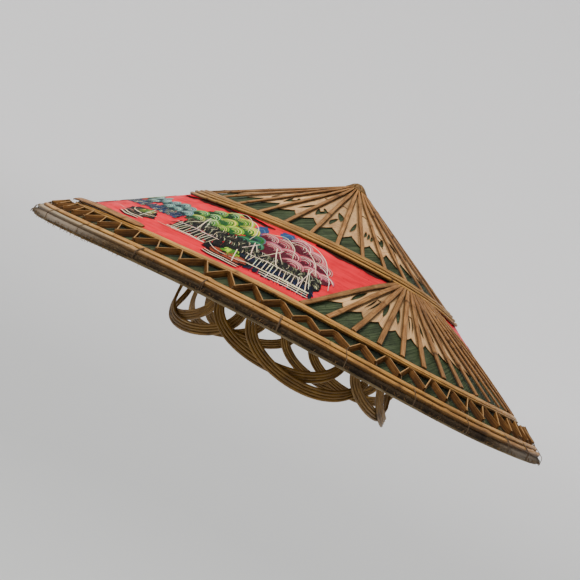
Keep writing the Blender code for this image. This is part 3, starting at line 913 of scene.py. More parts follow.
def zigzag_stitches(materials):
    """Wire stitch over each outer corner of the zigzag."""
    stitches = Bundle()
    for corner in range(ZIGZAG_PERIODS):
        azimuth = corner * 2 * ZIGZAG_STEP + rng.uniform(-0.3, 0.3)
        slant = rng.uniform(-0.5, 0.5)
        share = shares(7)
        path_radii = ZIGZAG_OUTER + brim_sway(azimuth) + (-1.2 + 6.4 * share) * MM
        lifts = (2.2 + 3.2 * np.sin(math.pi * np.clip(share * 0.85 + 0.1, 0, 1))) * MM
        path_azimuths = azimuth + slant * (share - 0.5)
        cane(stitches, cone_points(path_azimuths, path_radii, lifts),
             cone_normals(path_azimuths, path_radii), 0.5 * MM)
    piece("zigzag_stitches", stitches, materials["wire"], "rim_bark")


# Profile of the bark band: over the edge of the cover and down its outside, as (radius, height) in mm.
BARK_PROFILE = np.array([(221.0, 6.8), (224.5, 4.7), (227.6, 2.9), (228.9, 2.1), (229.3, 1.4), (229.2, 0.4),
                         (228.7, -0.6), (227.9, -1.0)]) * MM
BARK_WIDTH = 12 * MM
BASE_RADIUS = 224.8 * MM
BASE_WIDTH = 5.0 * MM
BASE_DEPTH = 2.0 * MM
TIE_STEP = 12.4
EDGE_FIBRES = 420
# Longer fibres that hang from the frayed stretch of the rim.
FRAYED_FIBRES = 150
FRAYED_AZIMUTH = 13
FRAYED_SPREAD = 9


def rim_hoops(materials):
    """Two hoops on the cover along the rim."""
    depth = RIM_TOP_LIFT - HOOP_LIFT
    upper = Bundle()
    ring_strip(upper, RIM_UPPER_OUTER - 0.5 * RIM_HOOP_WIDTH, HOOP_LIFT, RIM_HOOP_WIDTH, depth, joints=12)
    piece("rim_upper_strip", upper, materials["rim"], "rim_bamboo", "rim_hoop_upper")
    lower = Bundle()
    ring_strip(lower, RIM_LOWER_OUTER - 2.3 * MM, HOOP_LIFT, 3.3 * MM, depth - 0.5 * MM, joints=12)
    piece("rim_lower_strip", lower, materials["rim_edge"], "rim_bamboo", "rim_hoop_lower")


def bark_band(materials):
    """Weathered bark band round the edge, with a ragged hem."""
    band = Bundle()
    lumps = [(rng.integers(40, 300), rng.uniform(0, 9), rng.uniform(0, math.tau)) for _ in range(9)]

    def place(u, v, _):
        turn = math.tau * u
        lump = sum(np.sin(count * turn + wave * v + phase) for count, wave, phase in lumps) / len(lumps)
        corners = shares(len(BARK_PROFILE))
        radii = np.interp(v, corners, BARK_PROFILE[:, 0]) + 0.45 * MM * lump
        heights = np.interp(v, corners, BARK_PROFILE[:, 1])
        grain = stacked(turn * RIM_RADIUS, v * BARK_WIDTH, 0.5 + 0.3 * lump)
        return cylinder_points(360 * u, radii, heights), grain

    def ragged_hem(u, v):
        turn = math.tau * u
        hem = np.sin(83 * turn) + np.sin(191 * turn + 2) + np.sin(307 * turn + 4)
        return (0.93 + 0.02 * hem - v) * BARK_WIDTH

    cut_sheet(band, place, ragged_hem, shares(1081), shares(15))
    azimuths = np.degrees(np.arctan2(band.points[0][:, 0], -band.points[0][:, 1]))
    band.wear_and_shade[0] = np.clip(0.5 + band.wear_and_shade[0] - bells(azimuths, BARK_PALE), -1, 1)
    piece("rim_bark_band", band, materials["bark"], "rim_bark", "rim_edge_band", thickness=0.6 * MM)


def base_hoop(materials):
    """Thin hoop under the rim."""
    base = Bundle()
    azimuths = np.arange(0, 360.1, ARC_STEP)
    stations = np.radians(azimuths) * RIM_RADIUS
    path = cylinder_points(azimuths, BASE_RADIUS + wobble(stations, 0.2 * MM), -0.2 * MM)
    down = np.broadcast_to((0, 0, -1.0), path.shape)
    sweep(base, path, down, BASE_WIDTH, BASE_DEPTH, SPLIT, 0.35 + wobble(stations, 0.2))
    piece("rim_base_strip", base, materials["weathered"], "rim_bark", "rim_base_hoop")


def rim_ties(materials):
    """Wire ties over the rim hoops and down the bark band."""
    ties = Bundle()
    for azimuth in np.arange(3, 360, TIE_STEP):
        centre = azimuth + rng.uniform(-2.5, 2.5)
        for turn in range(rng.integers(1, 3)):
            lean = rng.uniform(-0.5, 0.5)
            share = shares(14)
            radii = (218.4 + 11.4 * np.clip(share * 1.25, 0, 1)) * MM + brim_sway(centre) * (1 - share)
            lifts = (3.5 + 1.5 * np.sin(math.pi * np.clip(share * 1.1, 0, 1)) ** 0.5) * MM
            lifts = lifts - np.clip(share - 0.8, 0, 1) * 22 * MM
            azimuths = centre + 0.35 * turn + lean * share
            path = cone_points(azimuths, radii, lifts)
            cane(ties, path, cone_normals(azimuths, radii), 0.5 * MM)
    piece("rim_ties", ties, materials["wire"], "straw")


def rim_fibres(materials):
    """Frayed fibres along the edge, and longer ones that hang from one stretch of it."""
    fibres = Bundle()
    for _ in range(EDGE_FIBRES):
        azimuth = rng.uniform(0, 360)
        start = rng.uniform(0.2, 1.6) * MM
        end = rng.uniform(-1.6, 0.0) * MM
        share = shares(4)
        out = RIM_RADIUS + (rng.uniform(0.0, 0.5) * share ** 2 - 0.15) * MM
        path = cylinder_points(azimuth + rng.uniform(-0.5, 0.5) * share, out, start + (end - start) * share)
        cane(fibres, path, outward(azimuth + 0 * share), rng.uniform(0.2, 0.35) * MM, rng.uniform(0.5, 1.0))
    for _ in range(FRAYED_FIBRES):
        azimuth = rng.normal(FRAYED_AZIMUTH, FRAYED_SPREAD)
        share = shares(5)
        drop = (0.2 + rng.uniform(-4.2, -1.2) * share) * MM
        path = cylinder_points(azimuth + rng.uniform(-0.6, 0.6) * share, 227.5 * MM, drop)
        cane(fibres, path, outward(azimuth + 0 * share), 0.4 * MM * (1 - 0.6 * share), 0.3)
    piece("rim_fibres", fibres, materials["straw"], "straw")


def apex_cap(materials):
    """Straw cap of folded rib ends over the apex."""
    cap = Bundle()
    ends = 26
    for end in range(ends):
        azimuth = 360 * end / ends + rng.uniform(-5, 5)
        share = shares(8)
        radii = (0.3 + 7.4 * share ** 1.1) * MM
        heights = APEX_HEIGHT + (4.2 - 4.6 * share ** 2.2 + rng.uniform(-0.5, 0.2)) * MM
        azimuths = azimuth + rng.uniform(-14, 14) * (1 - share)
        path = cylinder_points(azimuths, radii, heights)
        up = cylinder_points(azimuths, 0.6 * share, 1.0)
        sweep(cap, path, unit(up), (0.7 + 1.4 * share) * MM, 0.9 * MM, SPLIT, 0.25 + 0.4 * share)
    piece("apex_straw", cap, materials["straw"], "straw", "apex_cap")


def apex_tie(materials):
    """Binding of three turns round the cap."""
    tie = Bundle()
    for turn in range(3):
        azimuths = np.linspace(0, 360, 49) + 40 * turn
        radii = np.full(49, (8.6 + 0.6 * turn) * MM) + wobble(azimuths / 3000, 0.3 * MM, 0.03)
        path = cone_points(azimuths, radii, (4.6 - 0.2 * turn) * MM)
        cane(tie, path, cone_normals(azimuths, radii), 0.7 * MM, 0.4)
    piece("apex_binding", tie, materials["straw"], "straw", "apex_tie")


def loop_line(bottom, count=64):
    """Middle line of a headband loop: angle from its centre in degrees, and height."""
    leg = np.linspace(LOOP_TOP, LOOP_SHOULDER, count // 4)[:-1]
    turn = np.linspace(0, math.pi, count)
    angles = np.concatenate([-LOOP_HALF_ANGLE + 0 * leg, -LOOP_HALF_ANGLE * np.cos(turn),
                             LOOP_HALF_ANGLE + 0 * leg])
    arc = LOOP_SHOULDER - (LOOP_SHOULDER - bottom) * np.sin(turn)
    return angles, np.concatenate([leg, arc, leg[::-1]])


def headband_loops(materials):
    """Pairs of overlapping rattan loops, each of parallel strands."""
    for pair, middle in enumerate(LOOP_PAIR_AZIMUTHS):
        for half in range(2):
            name = f"{2 * pair + half + 1:02d}"
            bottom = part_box(f"headband_loop_{name}")[0].z + LOOP_WIDTH / 2
            centre = middle + (2 * half - 1) * LOOP_PAIR_HALF_STEP
            angles, heights = loop_line(bottom)
            flat = stacked(np.radians(angles) * LOOP_RADIUS, heights)
            ahead = unit(np.gradient(flat, axis=0))
            side = stacked(-ahead[:, 1], ahead[:, 0])
            stations = distances(flat)
            bundle = Bundle()
            pitch = LOOP_WIDTH / LOOP_STRANDS
            for strand in range(LOOP_STRANDS):
                offset = (strand - (LOOP_STRANDS - 1) / 2) * pitch
                line = flat + side * (offset + wobble(stations, 0.1 * MM, 0.12))[:, None]
                turned = np.degrees(line[:, 0] / LOOP_RADIUS)
                radii = LOOP_RADIUS - LOOP_SHINGLE * turned + wobble(stations, 0.2 * MM, 0.1)
                path = cylinder_points(centre + turned, radii, line[:, 1])
                path += np.outer(np.clip(1 - line[:, 1] / LOOP_TOP, 0, 1), LOOP_LEAN)
                joints = bumps(stations, rng.uniform(0, stations[-1], 2), 1.5 * MM)
                cane(bundle, path, outward(centre + turned), (pitch + 0.2 * MM) * (1 + 0.08 * joints),
                     0.7 * joints)
            piece(f"rattan_loop_{name}", bundle, materials["rattan"], "rattan", f"headband_loop_{name}")


def headband_rings(materials):
    """Two rattan rings of stacked strands, which hold the tops of the loops between them."""
    low, high = (corner.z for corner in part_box("headband_ring_outer"))
    pitch = (high - low) / RING_STRANDS
    for ring, middle in RING_MIDDLE_RADII.items():
        bundle = Bundle()
        for strand in range(RING_STRANDS):
            azimuths = np.linspace(0, 360, 181) + rng.uniform(0, 360)
            stations = np.radians(azimuths) * (middle - RING_HALF_DEPTH)
            radii = middle + wobble(stations, 0.2 * MM)
            heights = low + pitch * (strand + 0.5) + wobble(stations, 0.15 * MM)
            cane(bundle, cylinder_points(azimuths, radii, heights), outward(azimuths), pitch * 0.98, 0.1)
        piece(f"rattan_ring_{ring}", bundle, materials["rattan"], "rattan", f"headband_ring_{ring}")


def lining_leaf(materials):
    """Leaf lining under the cover."""
    leaf = Bundle()
    hole = 2 * MM

    def place(u, v, _):
        azimuths = 360 * u
        radii = hole + (SKIN_EDGE - hole) * v
        lifts = -0.75 * MM + 0.12 * MM * np.sin(radii * 260 + 9 * np.sin(math.tau * u * 7))
        grain = stacked(radii, np.radians(azimuths) * radii, 0.5 + 0.5 * np.sin(u * 60))
        return cone_points(azimuths, radii, lifts), grain

    cut_sheet(leaf, place, whole, shares(241), shares(46))
    piece("lining_leaf", leaf, materials["lining_leaf"], "lining", thickness=0.25 * MM)


WEAVE_PITCH = 13.5 * MM
WEAVE_WIDTH = 3.0 * MM


def lining_weave(materials):
    """Open six-sided bamboo weave under the lining: strips in three directions."""
    weave = Bundle()
    period = 2 * WEAVE_PITCH / math.sqrt(3)
    edge = SKIN_EDGE - 1 * MM
    lines = int(edge / WEAVE_PITCH)
    for family in range(3):
        turn = math.radians(60 * family)
        ahead = np.array([math.cos(turn), math.sin(turn)])
        aside = np.array([-math.sin(turn), math.cos(turn)])
        for line in range(-lines, lines + 1):
            offset = (line + 0.5) * WEAVE_PITCH
            if abs(offset) > edge - 4 * MM:
                continue
            half = math.sqrt(edge ** 2 - offset ** 2)
            along = np.linspace(-half, half, max(8, int(half / (1.7 * MM))))
            flat = aside * offset + ahead * along[:, None]
            radii = np.hypot(flat[:, 0], flat[:, 1])
            azimuths = np.degrees(np.arctan2(flat[:, 0], -flat[:, 1]))
            phase = math.pi * (line + (0.5 if family == 1 else 0.0))
            lifts = (-1.75 + 0.42 * np.cos(math.tau * along / period + phase)) * MM
            path = cone_points(azimuths, radii, lifts)
            sweep(weave, path, -cone_normals(azimuths, radii), WEAVE_WIDTH, 0.5 * MM)
    piece("lining_weave", weave, materials["weave"], "lining", "woven_lining")


# ---------------------------------------------------------------- painted panels

PAINT_RADIUS = 160 * MM
PANEL_TOP = SHEET_LIFT + 0.3 * MM
PAINT_CELL = 1.6
PAINT_LAYER = 0.002 * MM
STROKE_DEPTH = 0.05 * MM
# How far the painted scene sits beside the middle of its panel, in degrees.
SCENE_SHIFT = -1.5
GREENS = ("123018", "1E5A2C", "3A7E34", "6E9A30", "A8AE3A", "BCD0A0")
LIMES = ("1E4A24", "3E7A24", "7AA020", "B4B82C", "D8D878")
TEALS = ("16282C", "2C4A50", "48706E", "749A8E", "AEC2B2")
PINKS = ("4A1622", "8A2E40", "A84656", "C46E76", "E8C8B4")
OLIVES = ("100E10", "1A1A18", "34342A", "5E5C44", "8A886C", "C4BC9A")
NAVIES = ("0C0C12", "12182A", "1E2C4A", "2E4468")
CREAM = "E4D4B4"
BLACK = "0C0A0C"

# Slits torn in the front panel under the upper hoop: first and last azimuth, radius of the slit's middle at
# both ends and half its width in millimetres.
SLITS = ((-8, 39, 131.4, 128.2, 2.3), (53, 89, 123.8, 122.4, 2.9))


def panel_waves(azimuths, radii):
    """Unevenness of a painted panel."""
    return (0.1 * np.sin(330 * radii + 0.9 * azimuths) + 0.08 * np.sin(0.95 * azimuths + 90 * radii)) * MM


def slit_field(azimuths, radii):
    """Distance from the torn slits, negative inside them."""
    field = np.full_like(radii, 10 * MM)
    jag = (0.4 * np.sin(0.5 * azimuths) + 0.2 * np.sin(1.7 * azimuths + 1)) * MM
    for first, last, start, end, half in SLITS:
        share = np.clip((azimuths - first) / (last - first), 0, 1)
        open_share = (4 * share * (1 - share)) ** 0.35
        middle = (start + (end - start) * share) * MM
        away = np.abs(radii - middle + jag * open_share) - half * MM * open_share
        field = np.where(open_share > 0, np.minimum(field, away), field)
    return field


class Canvas:
    """Painted scene on one panel: each stroke lies a hair higher than what it covers.

    Its coordinates are millimetres: x to the right of the panel's middle, y up towards the crown.
    """

    def __init__(self, middle):
        self.middle = middle
        self.bundle = Bundle()
        self.layers = {}

    def level(self, x, y, margin):
        """Lift over everything painted so far within a margin of points."""
        cells = {(int((px + dx) // PAINT_CELL), int((py + dy) // PAINT_CELL))
                 for px, py in zip(x, y) for dx in (-margin, 0, margin) for dy in (-margin, 0, margin)}
        level = max(self.layers.get(cell, 0) for cell in cells) + 1
        self.layers.update(dict.fromkeys(cells, level))
        return level * PAINT_LAYER

    def lay(self, x, y, lift):
        """Azimuths, radii and lifts of points of the scene."""
        azimuths = np.degrees(x * MM / PAINT_RADIUS)
        radii = PAINT_RADIUS - y * MM
        lifts = PANEL_TOP + panel_waves(azimuths, radii) + lift
        return azimuths + self.middle + SCENE_SHIFT, radii, lifts

    def line(self, points, width, colour, blunt=0.35):
        """Brush stroke through points."""
        points = np.array(points, float)
        length = distances(points)[-1]
        stations = np.linspace(0, len(points) - 1, max(5, int(length / 1.2)))
        x, y = (rounded(stations, points[:, axis]) for axis in range(2))
        azimuths, radii, lifts = self.lay(x, y, self.level(x, y, width / 2))
        share = np.clip(shares(len(stations)), 0.02, 0.98)
        taper = blunt + (1 - blunt) * np.sin(math.pi * share) ** 0.6
        paint = tuple(channel * rng.uniform(0.85, 1.12) for channel in pigment(colour))
        sweep(self.bundle, cone_points(azimuths, radii, lifts), cone_normals(azimuths, radii),
              width * MM * taper, STROKE_DEPTH, BRUSH, 0.0, paint)

    def patch(self, x, y, width, height, colour, ragged=0.14, points=24, flat=0.0):
        """Filled blob; flat cuts off its lower part."""
        angles = np.linspace(0, math.tau, points, endpoint=False)
        spread = 1 + ragged * rng.uniform(-1, 1, points)
        around_x = spread * width / 2 * np.cos(angles)
        around_y = spread * height / 2 * np.maximum(np.sin(angles), flat - 1)
        rings = np.array([0.0, 0.35, 0.7, 0.97, 1.0])[:, None]
        block_x = (x + rings * around_x).ravel()
        block_y = (y + rings * around_y).ravel()
        raised = np.repeat(rings < 1, points)
        block = cone_points(*self.lay(block_x, block_y, self.level(block_x, block_y, 0.8)
                                      + STROKE_DEPTH * raised))
        faces = ring_quads(len(rings), points)[:, [0, 3, 2, 1]].tolist()
        self.bundle.add(block, faces, stacked(block[:, 0], block[:, 1], 0.5), 0.0, pigment(colour))


def rounded(stations, values):
    """Smooth curve through values at whole stations (Catmull-Rom)."""
    padded = np.concatenate([[2 * values[0] - values[1]], values, [2 * values[-1] - values[-2]]])
    index = np.clip(np.floor(stations).astype(int), 0, len(values) - 2)
    share = stations - index
    before, start, end, after = (padded[index + offset] for offset in range(4))
    return 0.5 * (2 * start + (end - before) * share
                  + (2 * before - 5 * start + 4 * end - after) * share ** 2
                  + (3 * start - before - 3 * end + after) * share ** 3)


def foliage(canvas, x, y, size, colours, strokes=11, squash=0.8):
    """Billow of a tree: a dark blob under thin arched strokes, every third one pale."""
    canvas.patch(x, y - 0.1 * size, 1.7 * size, 1.5 * size * squash, colours[0], ragged=0.2)
    for stroke in range(strokes):
        share = (stroke + 1) / strokes
        pale = stroke % 3 == 2
        radius = size * (0.08 + 0.92 * share)
        angles = np.radians(np.linspace(rng.uniform(125, 175), rng.uniform(-35, 15), 6))
        points = stacked(x + radius * np.cos(angles) + rng.uniform(-0.05, 0.05) * size,
                         y + radius * squash * np.sin(angles) - 0.1 * size)
        tone = int(np.clip(1 + share * (len(colours) - 3) + rng.uniform(-1.2, 1.6), 1, len(colours) - 2))
        canvas.line(points, rng.uniform(0.5, 0.75) if pale else rng.uniform(0.8, 1.2),
                    colours[-1] if pale else colours[tone])


def bank(canvas, start, end, high, low, colours=OLIVES):
    """Dark ground under rows of short slanting strokes."""
    for x in np.arange(start, end, 1.5):
        canvas.line([(x, high + rng.uniform(-2, 1)), (x + rng.uniform(1, 4), low + rng.uniform(-1, 2))],
                    rng.uniform(2.0, 3.0), colours[rng.integers(0, 2)], blunt=0.7)
    rows = np.arange(high - 1.5, low, -2.7)
    for row, y in enumerate(rows):
        slant = -1 if row % 3 == 1 else 1
        for x in np.arange(start, end, 1.25):
            lean = slant * rng.uniform(0.8, 3.0)
            tone = rng.integers(1, len(colours)) if rng.random() < 0.75 else 1
            canvas.line([(x, y + 1.7), (x + 0.7 * lean, y + 0.3), (x + lean, y - 1.7)], rng.uniform(0.4, 0.8),
                        colours[tone])


def fence(canvas, start, end, high, low, pitch=2.9, rails=(0.0, 1.0)):
    """Thin cream posts between rails."""
    for x in np.arange(start, end, pitch):
        foot = low + rng.uniform(-1.5, 2.5)
        head = (x + rng.uniform(-0.8, 0.8), high + rng.uniform(-0.5, 2.5))
        canvas.line([head, (x + rng.uniform(-0.5, 2.0), foot)], rng.uniform(0.4, 0.55), CREAM, blunt=0.8)
    for share in rails:
        y = high + (low - high) * share
        canvas.line([(start - rng.uniform(1, 5), y), ((start + end) / 2, y + 0.5),
                     (end + rng.uniform(1, 5), y - 0.3)], rng.uniform(0.6, 0.85), CREAM, blunt=0.6)


def boat(canvas, x, y, length, hull, cargo):
    """Moored boat in its dark shadow, with a load, a pole and ripples."""
    canvas.patch(x - 1, y - 0.5, length * 1.12, 13, BLACK, ragged=0.15, flat=0.35)
    canvas.patch(x + 1, y - 1.5, length * 0.86, 10, hull, ragged=0.05, flat=0.2)
    canvas.patch(x - 1, y + 3.0, length * 0.4, 8.0, cargo[0], ragged=0.25)
    for step in range(12):
        dab = (x + length * rng.uniform(-0.2, 0.16), y + rng.uniform(0.8, 6))
        canvas.line([dab, (dab[0] + 1.6, dab[1] + 1.4), (dab[0] + 2.6, dab[1] - 0.8)], rng.uniform(0.9, 1.6),
                    cargo[1 + step % (len(cargo) - 1)])
    for drop, width, tone in ((0.0, 0.8, CREAM), (1.3, 1.1, BLACK), (4.6, 1.2, BLACK)):
        canvas.line([(x - length * 0.54, y + 3.0 - drop), (x - length * 0.26, y - 1.2 - drop),
                     (x + length * 0.2, y - 1.6 - drop), (x + length * 0.48, y + 1.0 - drop)], width, tone)
    canvas.line([(x + length * 0.02, y + 9), (x + length * 0.2, y - 6)], 0.9, CREAM, blunt=0.8)
    for drop, width, tone in ((6.0, 1.5, BLACK), (7.4, 0.7, CREAM), (8.6, 1.6, BLACK), (9.7, 0.8, CREAM),
                              (10.9, 1.4, BLACK)):
        end = x + length * rng.uniform(0.3, 0.45)
        canvas.line([(x - length * 0.42, y - drop + 1.2), (x - length * 0.1, y - drop), (end, y - drop)],
                    width, tone)


def masts(canvas, x, y, height, spread):
    """Leaning poles tied near their tops."""
    canvas.line([(x - spread, y), (x + spread * 0.5, y + height)], 0.6, CREAM, blunt=0.8)
    canvas.line([(x + spread, y - 2), (x - spread * 0.4, y + height * 0.96)], 0.7, CREAM, blunt=0.8)
    canvas.line([(x + spread * 1.5, y + 2), (x + spread * 0.2, y + height * 0.8)], 0.5, CREAM, blunt=0.8)


def trees(canvas, colours, *billows):
    """Billows given as (x, y, size), the later ones in front."""
    for x, y, size in billows:
        foliage(canvas, x, y, size, colours)


def landscape(canvas):
    """River bank with trees, jetties and boats across one panel."""
    canvas.patch(150, -10, 24, 22, NAVIES[0], ragged=0.2)
    for x, y, width, height in ((98, 22, 13, 14), (120, 30, 15, 10), (-64, 24, 14, 10), (-138, 14, 12, 12)):
        canvas.patch(x, y, width, height, NAVIES[3], ragged=0.2)
        canvas.line([(x - 5, y - 2), (x, y + 3), (x + 6, y - 1)], 1.4, "4A6C96")
    canvas.patch(104, 6, 22, 16, GREENS[0], ragged=0.2)
    canvas.patch(136, 2, 54, 16, PINKS[0], ragged=0.1)
    trees(canvas, PINKS, (148, 20, 11), (133, 25, 13), (122, 18, 10), (110, 18, 9), (158, 12, 9),
          (144, 11, 10), (132, 10, 10), (118, 9, 9), (162, 2, 8), (152, 2, 9), (138, 1, 9))
    trees(canvas, PINKS, (-128, 8, 10), (-112, 16, 12), (-96, 9, 11), (-118, 2, 9))
    trees(canvas, GREENS, (54, 20, 9), (66, 24, 10), (46, 11, 8), (58, 12, 9), (52, 3, 8), (64, 5, 9))
    trees(canvas, LIMES, (80, 22, 11), (92, 15, 10), (72, 14, 9), (84, 8, 9), (76, 3, 8))
    trees(canvas, TEALS[:3] + GREENS[:3], (104, 10, 7), (98, 3, 7), (108, 3, 7))
    trees(canvas, TEALS, (8, 9, 8), (20, 11, 8), (32, 9, 8), (14, 3, 7), (26, 3, 7), (40, 3, 7))
    trees(canvas, TEALS, (-28, 9, 8), (-14, 11, 8), (-4, 7, 8), (-22, 3, 7), (-10, 2, 7))
    trees(canvas, GREENS, (-74, 14, 10), (-58, 18, 11), (-44, 11, 9), (-66, 5, 9), (-50, 3, 9))
    bank(canvas, 104, 158, -2, -26, NAVIES[:3] + OLIVES[1:2])
    bank(canvas, 52, 106, -8, -18, OLIVES[:3])
    bank(canvas, 52, 106, 3, -9)
    bank(canvas, 104, 160, -1, -12)
    bank(canvas, 2, 44, 0, -8, NAVIES[1:] + OLIVES[3:])
    bank(canvas, -42, 0, -1, -9, NAVIES[1:] + OLIVES[3:])
    bank(canvas, -84, -40, -1, -13)
    bank(canvas, -134, -88, -1, -17)
    for arc in (((126, 34), (146, 32), (159, 22), (164, 6)), ((118, 24), (138, 26), (151, 15), (156, 1)),
                ((104, 22), (119, 27), (131, 20), (136, 7)), ((140, 14), (156, 14), (165, 5), (167, -8)),
                ((58, 28), (72, 33), (86, 26), (93, 14)), ((72, 30), (90, 27), (99, 17), (101, 6))):
        canvas.line(arc, 0.6, CREAM)
    fence(canvas, 54, 86, -9.5, -19.5)
    fence(canvas, 112, 152, -9.5, -20)
    fence(canvas, 130, 152, -18, -25, pitch=6.5, rails=(0.2, 0.6, 1.0))
    fence(canvas, -128, -94, -9, -19)
    for x, y, height, spread in ((124, -6, 17, 6), (108, -6, 12, 4), (151, -18, 24, 3), (62, -6, 17, 6),
                                 (-104, -6, 17, 5)):
        masts(canvas, x, y, height, spread)
    boat(canvas, 103, -20, 30, "8A3A24", ("3A6A1C", "7AA820", "A8C83A"))
    boat(canvas, 22, -17, 32, "4A3A2A", ("4A5A22", "A8A23A", "C8BC7A", "3E7A58"))
    boat(canvas, -54, -20, 32, "5E2E20", ("24466E", "B4A04A", "CCC4A4"))
    for x in (44, 60, -10, -92):
        canvas.line([(x, -20), (x + 10, -20.8), (x + 26, -20.2)], 0.6, "D88A7C")


PANEL_HALF_ANGLE = 85
PANEL_INNER = UPPER_HOOP_OUTER - 1.0 * MM


def painted_panel(side, middle, materials):
    """Red lacquered leaf panel between the fans; the front one is torn."""
    panel = Bundle()
    borders_azimuth, borders_radius = fan_polar(0, 1.0, shares(60))
    torn = side == TORN_SIDE

    def polar(u, v):
        azimuths = PANEL_HALF_ANGLE * (2 * u - 1)
        border = np.interp(90 - np.abs(azimuths), borders_azimuth, borders_radius)
        outer = np.minimum(FAN_END, border) - 0.8 * MM
        start = np.minimum(PANEL_INNER, outer - 0.5 * MM)
        return azimuths, start + (outer - start) * v

    def field(u, v):
        azimuths, radii = polar(u, v)
        return slit_field(middle + azimuths, radii) if torn else 10 * MM + 0 * radii

    def place(u, v, edge):
        azimuths, radii = polar(u, v)
        curl = curled(edge, 0.7 * MM, 1.3 * MM) * (0.6 + 0.4 * np.sin(0.5 * azimuths))
        lift_edge = 0.5 * MM * np.exp(-v * 9) * (0.5 + 0.5 * np.sin(u * 71))
        grain = stacked(np.radians(azimuths) * radii, radii, 0.5)
        lifts = SHEET_LIFT + panel_waves(azimuths, radii) + lift_edge + curl
        return cone_points(middle + azimuths, radii, lifts), grain

    rows = np.concatenate([np.linspace(0, 0.2, 36)[:-1], np.linspace(0.2, 1, 28)])
    cut_sheet(panel, place, field, shares(521), rows)
    piece(f"lacquer_panel_{side}", panel, materials["red"], "painted_leaf", f"painted_panel_{side}",
          thickness=0.3 * MM)


def painted_scene(side, middle, materials):
    """Landscape on one panel."""
    canvas = Canvas(middle)
    landscape(canvas)
    piece(f"landscape_{side}", canvas.bundle, materials["paint"], "painted_leaf")


def shaded_torn_underleaf(middle, materials):
    """Brown under layer of leaf in the slits of the torn panel, coloured near-black as painted shade of the
    slits.
    """
    under = Bundle()

    def place(u, v, _):
        azimuths = middle - 12 + 104 * u
        radii = (119 + 17 * v) * MM
        lifts = (0.95 + 0.12 * np.sin(0.7 * azimuths + 300 * radii)) * MM
        grain = stacked(np.radians(azimuths) * radii, radii, 0.5)
        return cone_points(azimuths, radii, lifts), grain

    cut_sheet(under, place, whole, shares(209), shares(14))
    piece("shaded_torn_underleaf", under, materials["shaded_underleaf"], "painted_leaf", thickness=0.2 * MM)


# ---------------------------------------------------------------- stage, light and camera

def camera_axes():
    """Camera position and its right, up and back directions."""
    turn = Matrix.Rotation(math.radians(CAMERA_AZIMUTH), 3, "Z")
    rise = math.radians(CAMERA_ELEVATION)
    position = turn @ Vector((0, -math.cos(rise), math.sin(rise))) * CAMERA_DISTANCE
    aim = turn @ Vector(CAMERA_AIM)
    back = (position - aim).normalized()
    level = Vector((0, 0, 1)).cross(back).normalized()
    lifted = back.cross(level)
    roll = math.radians(CAMERA_ROLL)
    right = math.cos(roll) * level + math.sin(roll) * lifted
    up = -math.sin(roll) * level + math.cos(roll) * lifted
    return position, right, up, back


def place_camera():
    """Camera at the photograph's viewing angle."""
    position, right, up, back = camera_axes()
    data = bpy.data.cameras.new("camera")
    data.lens = CAMERA_LENS
    data.sensor_width = 36
    data.clip_start = 0.01
    data.clip_end = 100
    camera = add_object("camera", data)
    camera.matrix_world = Matrix.Translation(position) @ Matrix((right, up, back)).transposed().to_4x4()
    bpy.context.scene.camera = camera


def area_light(name, direction, distance, size, power, colour=(1, 1, 1)):
    """Square light aimed at the hat."""
    data = bpy.data.lights.new(name, "AREA")
    data.size = size
    data.energy = power
    data.color = colour
    light = add_object(name, data)
    light.location = Vector(direction).normalized() * distance + Vector((0, 0, KNEE_HEIGHT))
    light.rotation_euler = Vector(direction).to_track_quat("Z", "Y").to_euler()


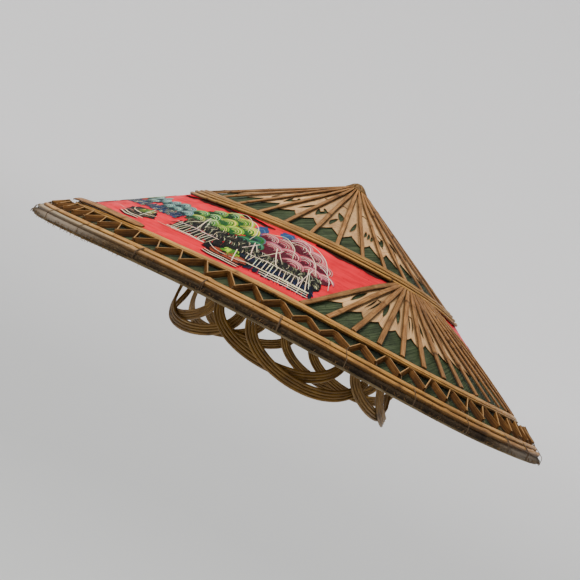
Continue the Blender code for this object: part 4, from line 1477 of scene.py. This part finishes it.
def studio():
    """Pale seamless floor that rises all round, and soft light."""
    profile = [(0.0, 0.0), (2.4, 0.0), (3.2, 0.15), (3.8, 0.6), (4.1, 1.3), (4.2, 2.6), (4.2, 4.6)]
    mesh = bpy.data.meshes.new("floor")
    sides = 72
    angles = [math.tau * side / sides for side in range(sides)]
    points = [(radius * math.cos(angle), radius * math.sin(angle), height - FLOOR_DEPTH)
              for radius, height in profile for angle in angles]
    mesh.from_pydata(points, [], ring_quads(len(profile), sides).tolist())
    mesh.shade_smooth()
    material = bpy.data.materials.new("floor")
    material.use_nodes = True
    shader = material.node_tree.nodes["Principled BSDF"]
    place = add_node(material.node_tree, "ShaderNodeTexCoord").outputs["Object"]
    height = add_node(material.node_tree, "ShaderNodeSeparateXYZ", {0: place}).outputs[2]
    tone = ramp(material.node_tree, maths(material.node_tree, "ADD", height, FLOOR_DEPTH),
                (0.0, (0.5, 0.51, 0.5)), (0.9, (0.9, 0.89, 0.89)))
    material.node_tree.links.new(tone, shader.inputs["Base Color"])
    shader.inputs["Roughness"].default_value = 0.9
    shader.inputs["Emission Color"].default_value = (1.0, 0.98, 0.97, 1)
    shader.inputs["Emission Strength"].default_value = 0.25
    mesh.materials.append(material)
    add_object("floor", mesh)

    world = bpy.data.worlds.new("studio")
    world.use_nodes = True
    background = world.node_tree.nodes["Background"]
    background.inputs["Color"].default_value = (0.92, 0.96, 1.0, 1)
    background.inputs["Strength"].default_value = 0.46
    bpy.context.scene.world = world
    _, right, up, back = camera_axes()
    area_light("key", up - 0.12 * right + 0.55 * back, distance=1.9, size=0.5, power=51,
               colour=(1.0, 0.97, 0.93))
    area_light("fill", 0.35 * up + right + 0.8 * back, distance=2.0, size=1.4, power=5)
    area_light("overhead", Vector((0, 0, 1)), distance=2.0, size=1.2, power=10)


def build():
    """Build the hat's looks, stage and camera."""
    materials = make_materials()
    lining_leaf(materials)
    lining_weave(materials)
    leaf_cover(materials)
    crown_leaf(materials)
    crown_ribs(materials)
    upper_hoop(materials)
    for side, azimuth in FAN_AZIMUTHS.items():
        fan_leaf(side, azimuth, materials)
        fan_ribs(side, azimuth, materials)
    for side, middle in PANEL_AZIMUTHS.items():
        painted_panel(side, middle, materials)
        painted_scene(side, middle, materials)
        if side == TORN_SIDE:
            shaded_torn_underleaf(middle, materials)
    mid_hoop(materials)
    mid_hoop_splice(materials)
    zigzag(materials)
    zigzag_stitches(materials)
    rim_hoops(materials)
    bark_band(materials)
    base_hoop(materials)
    rim_ties(materials)
    rim_fibres(materials)
    apex_cap(materials)
    apex_tie(materials)
    headband_loops(materials)
    headband_rings(materials)
    studio()
    place_camera()


build()
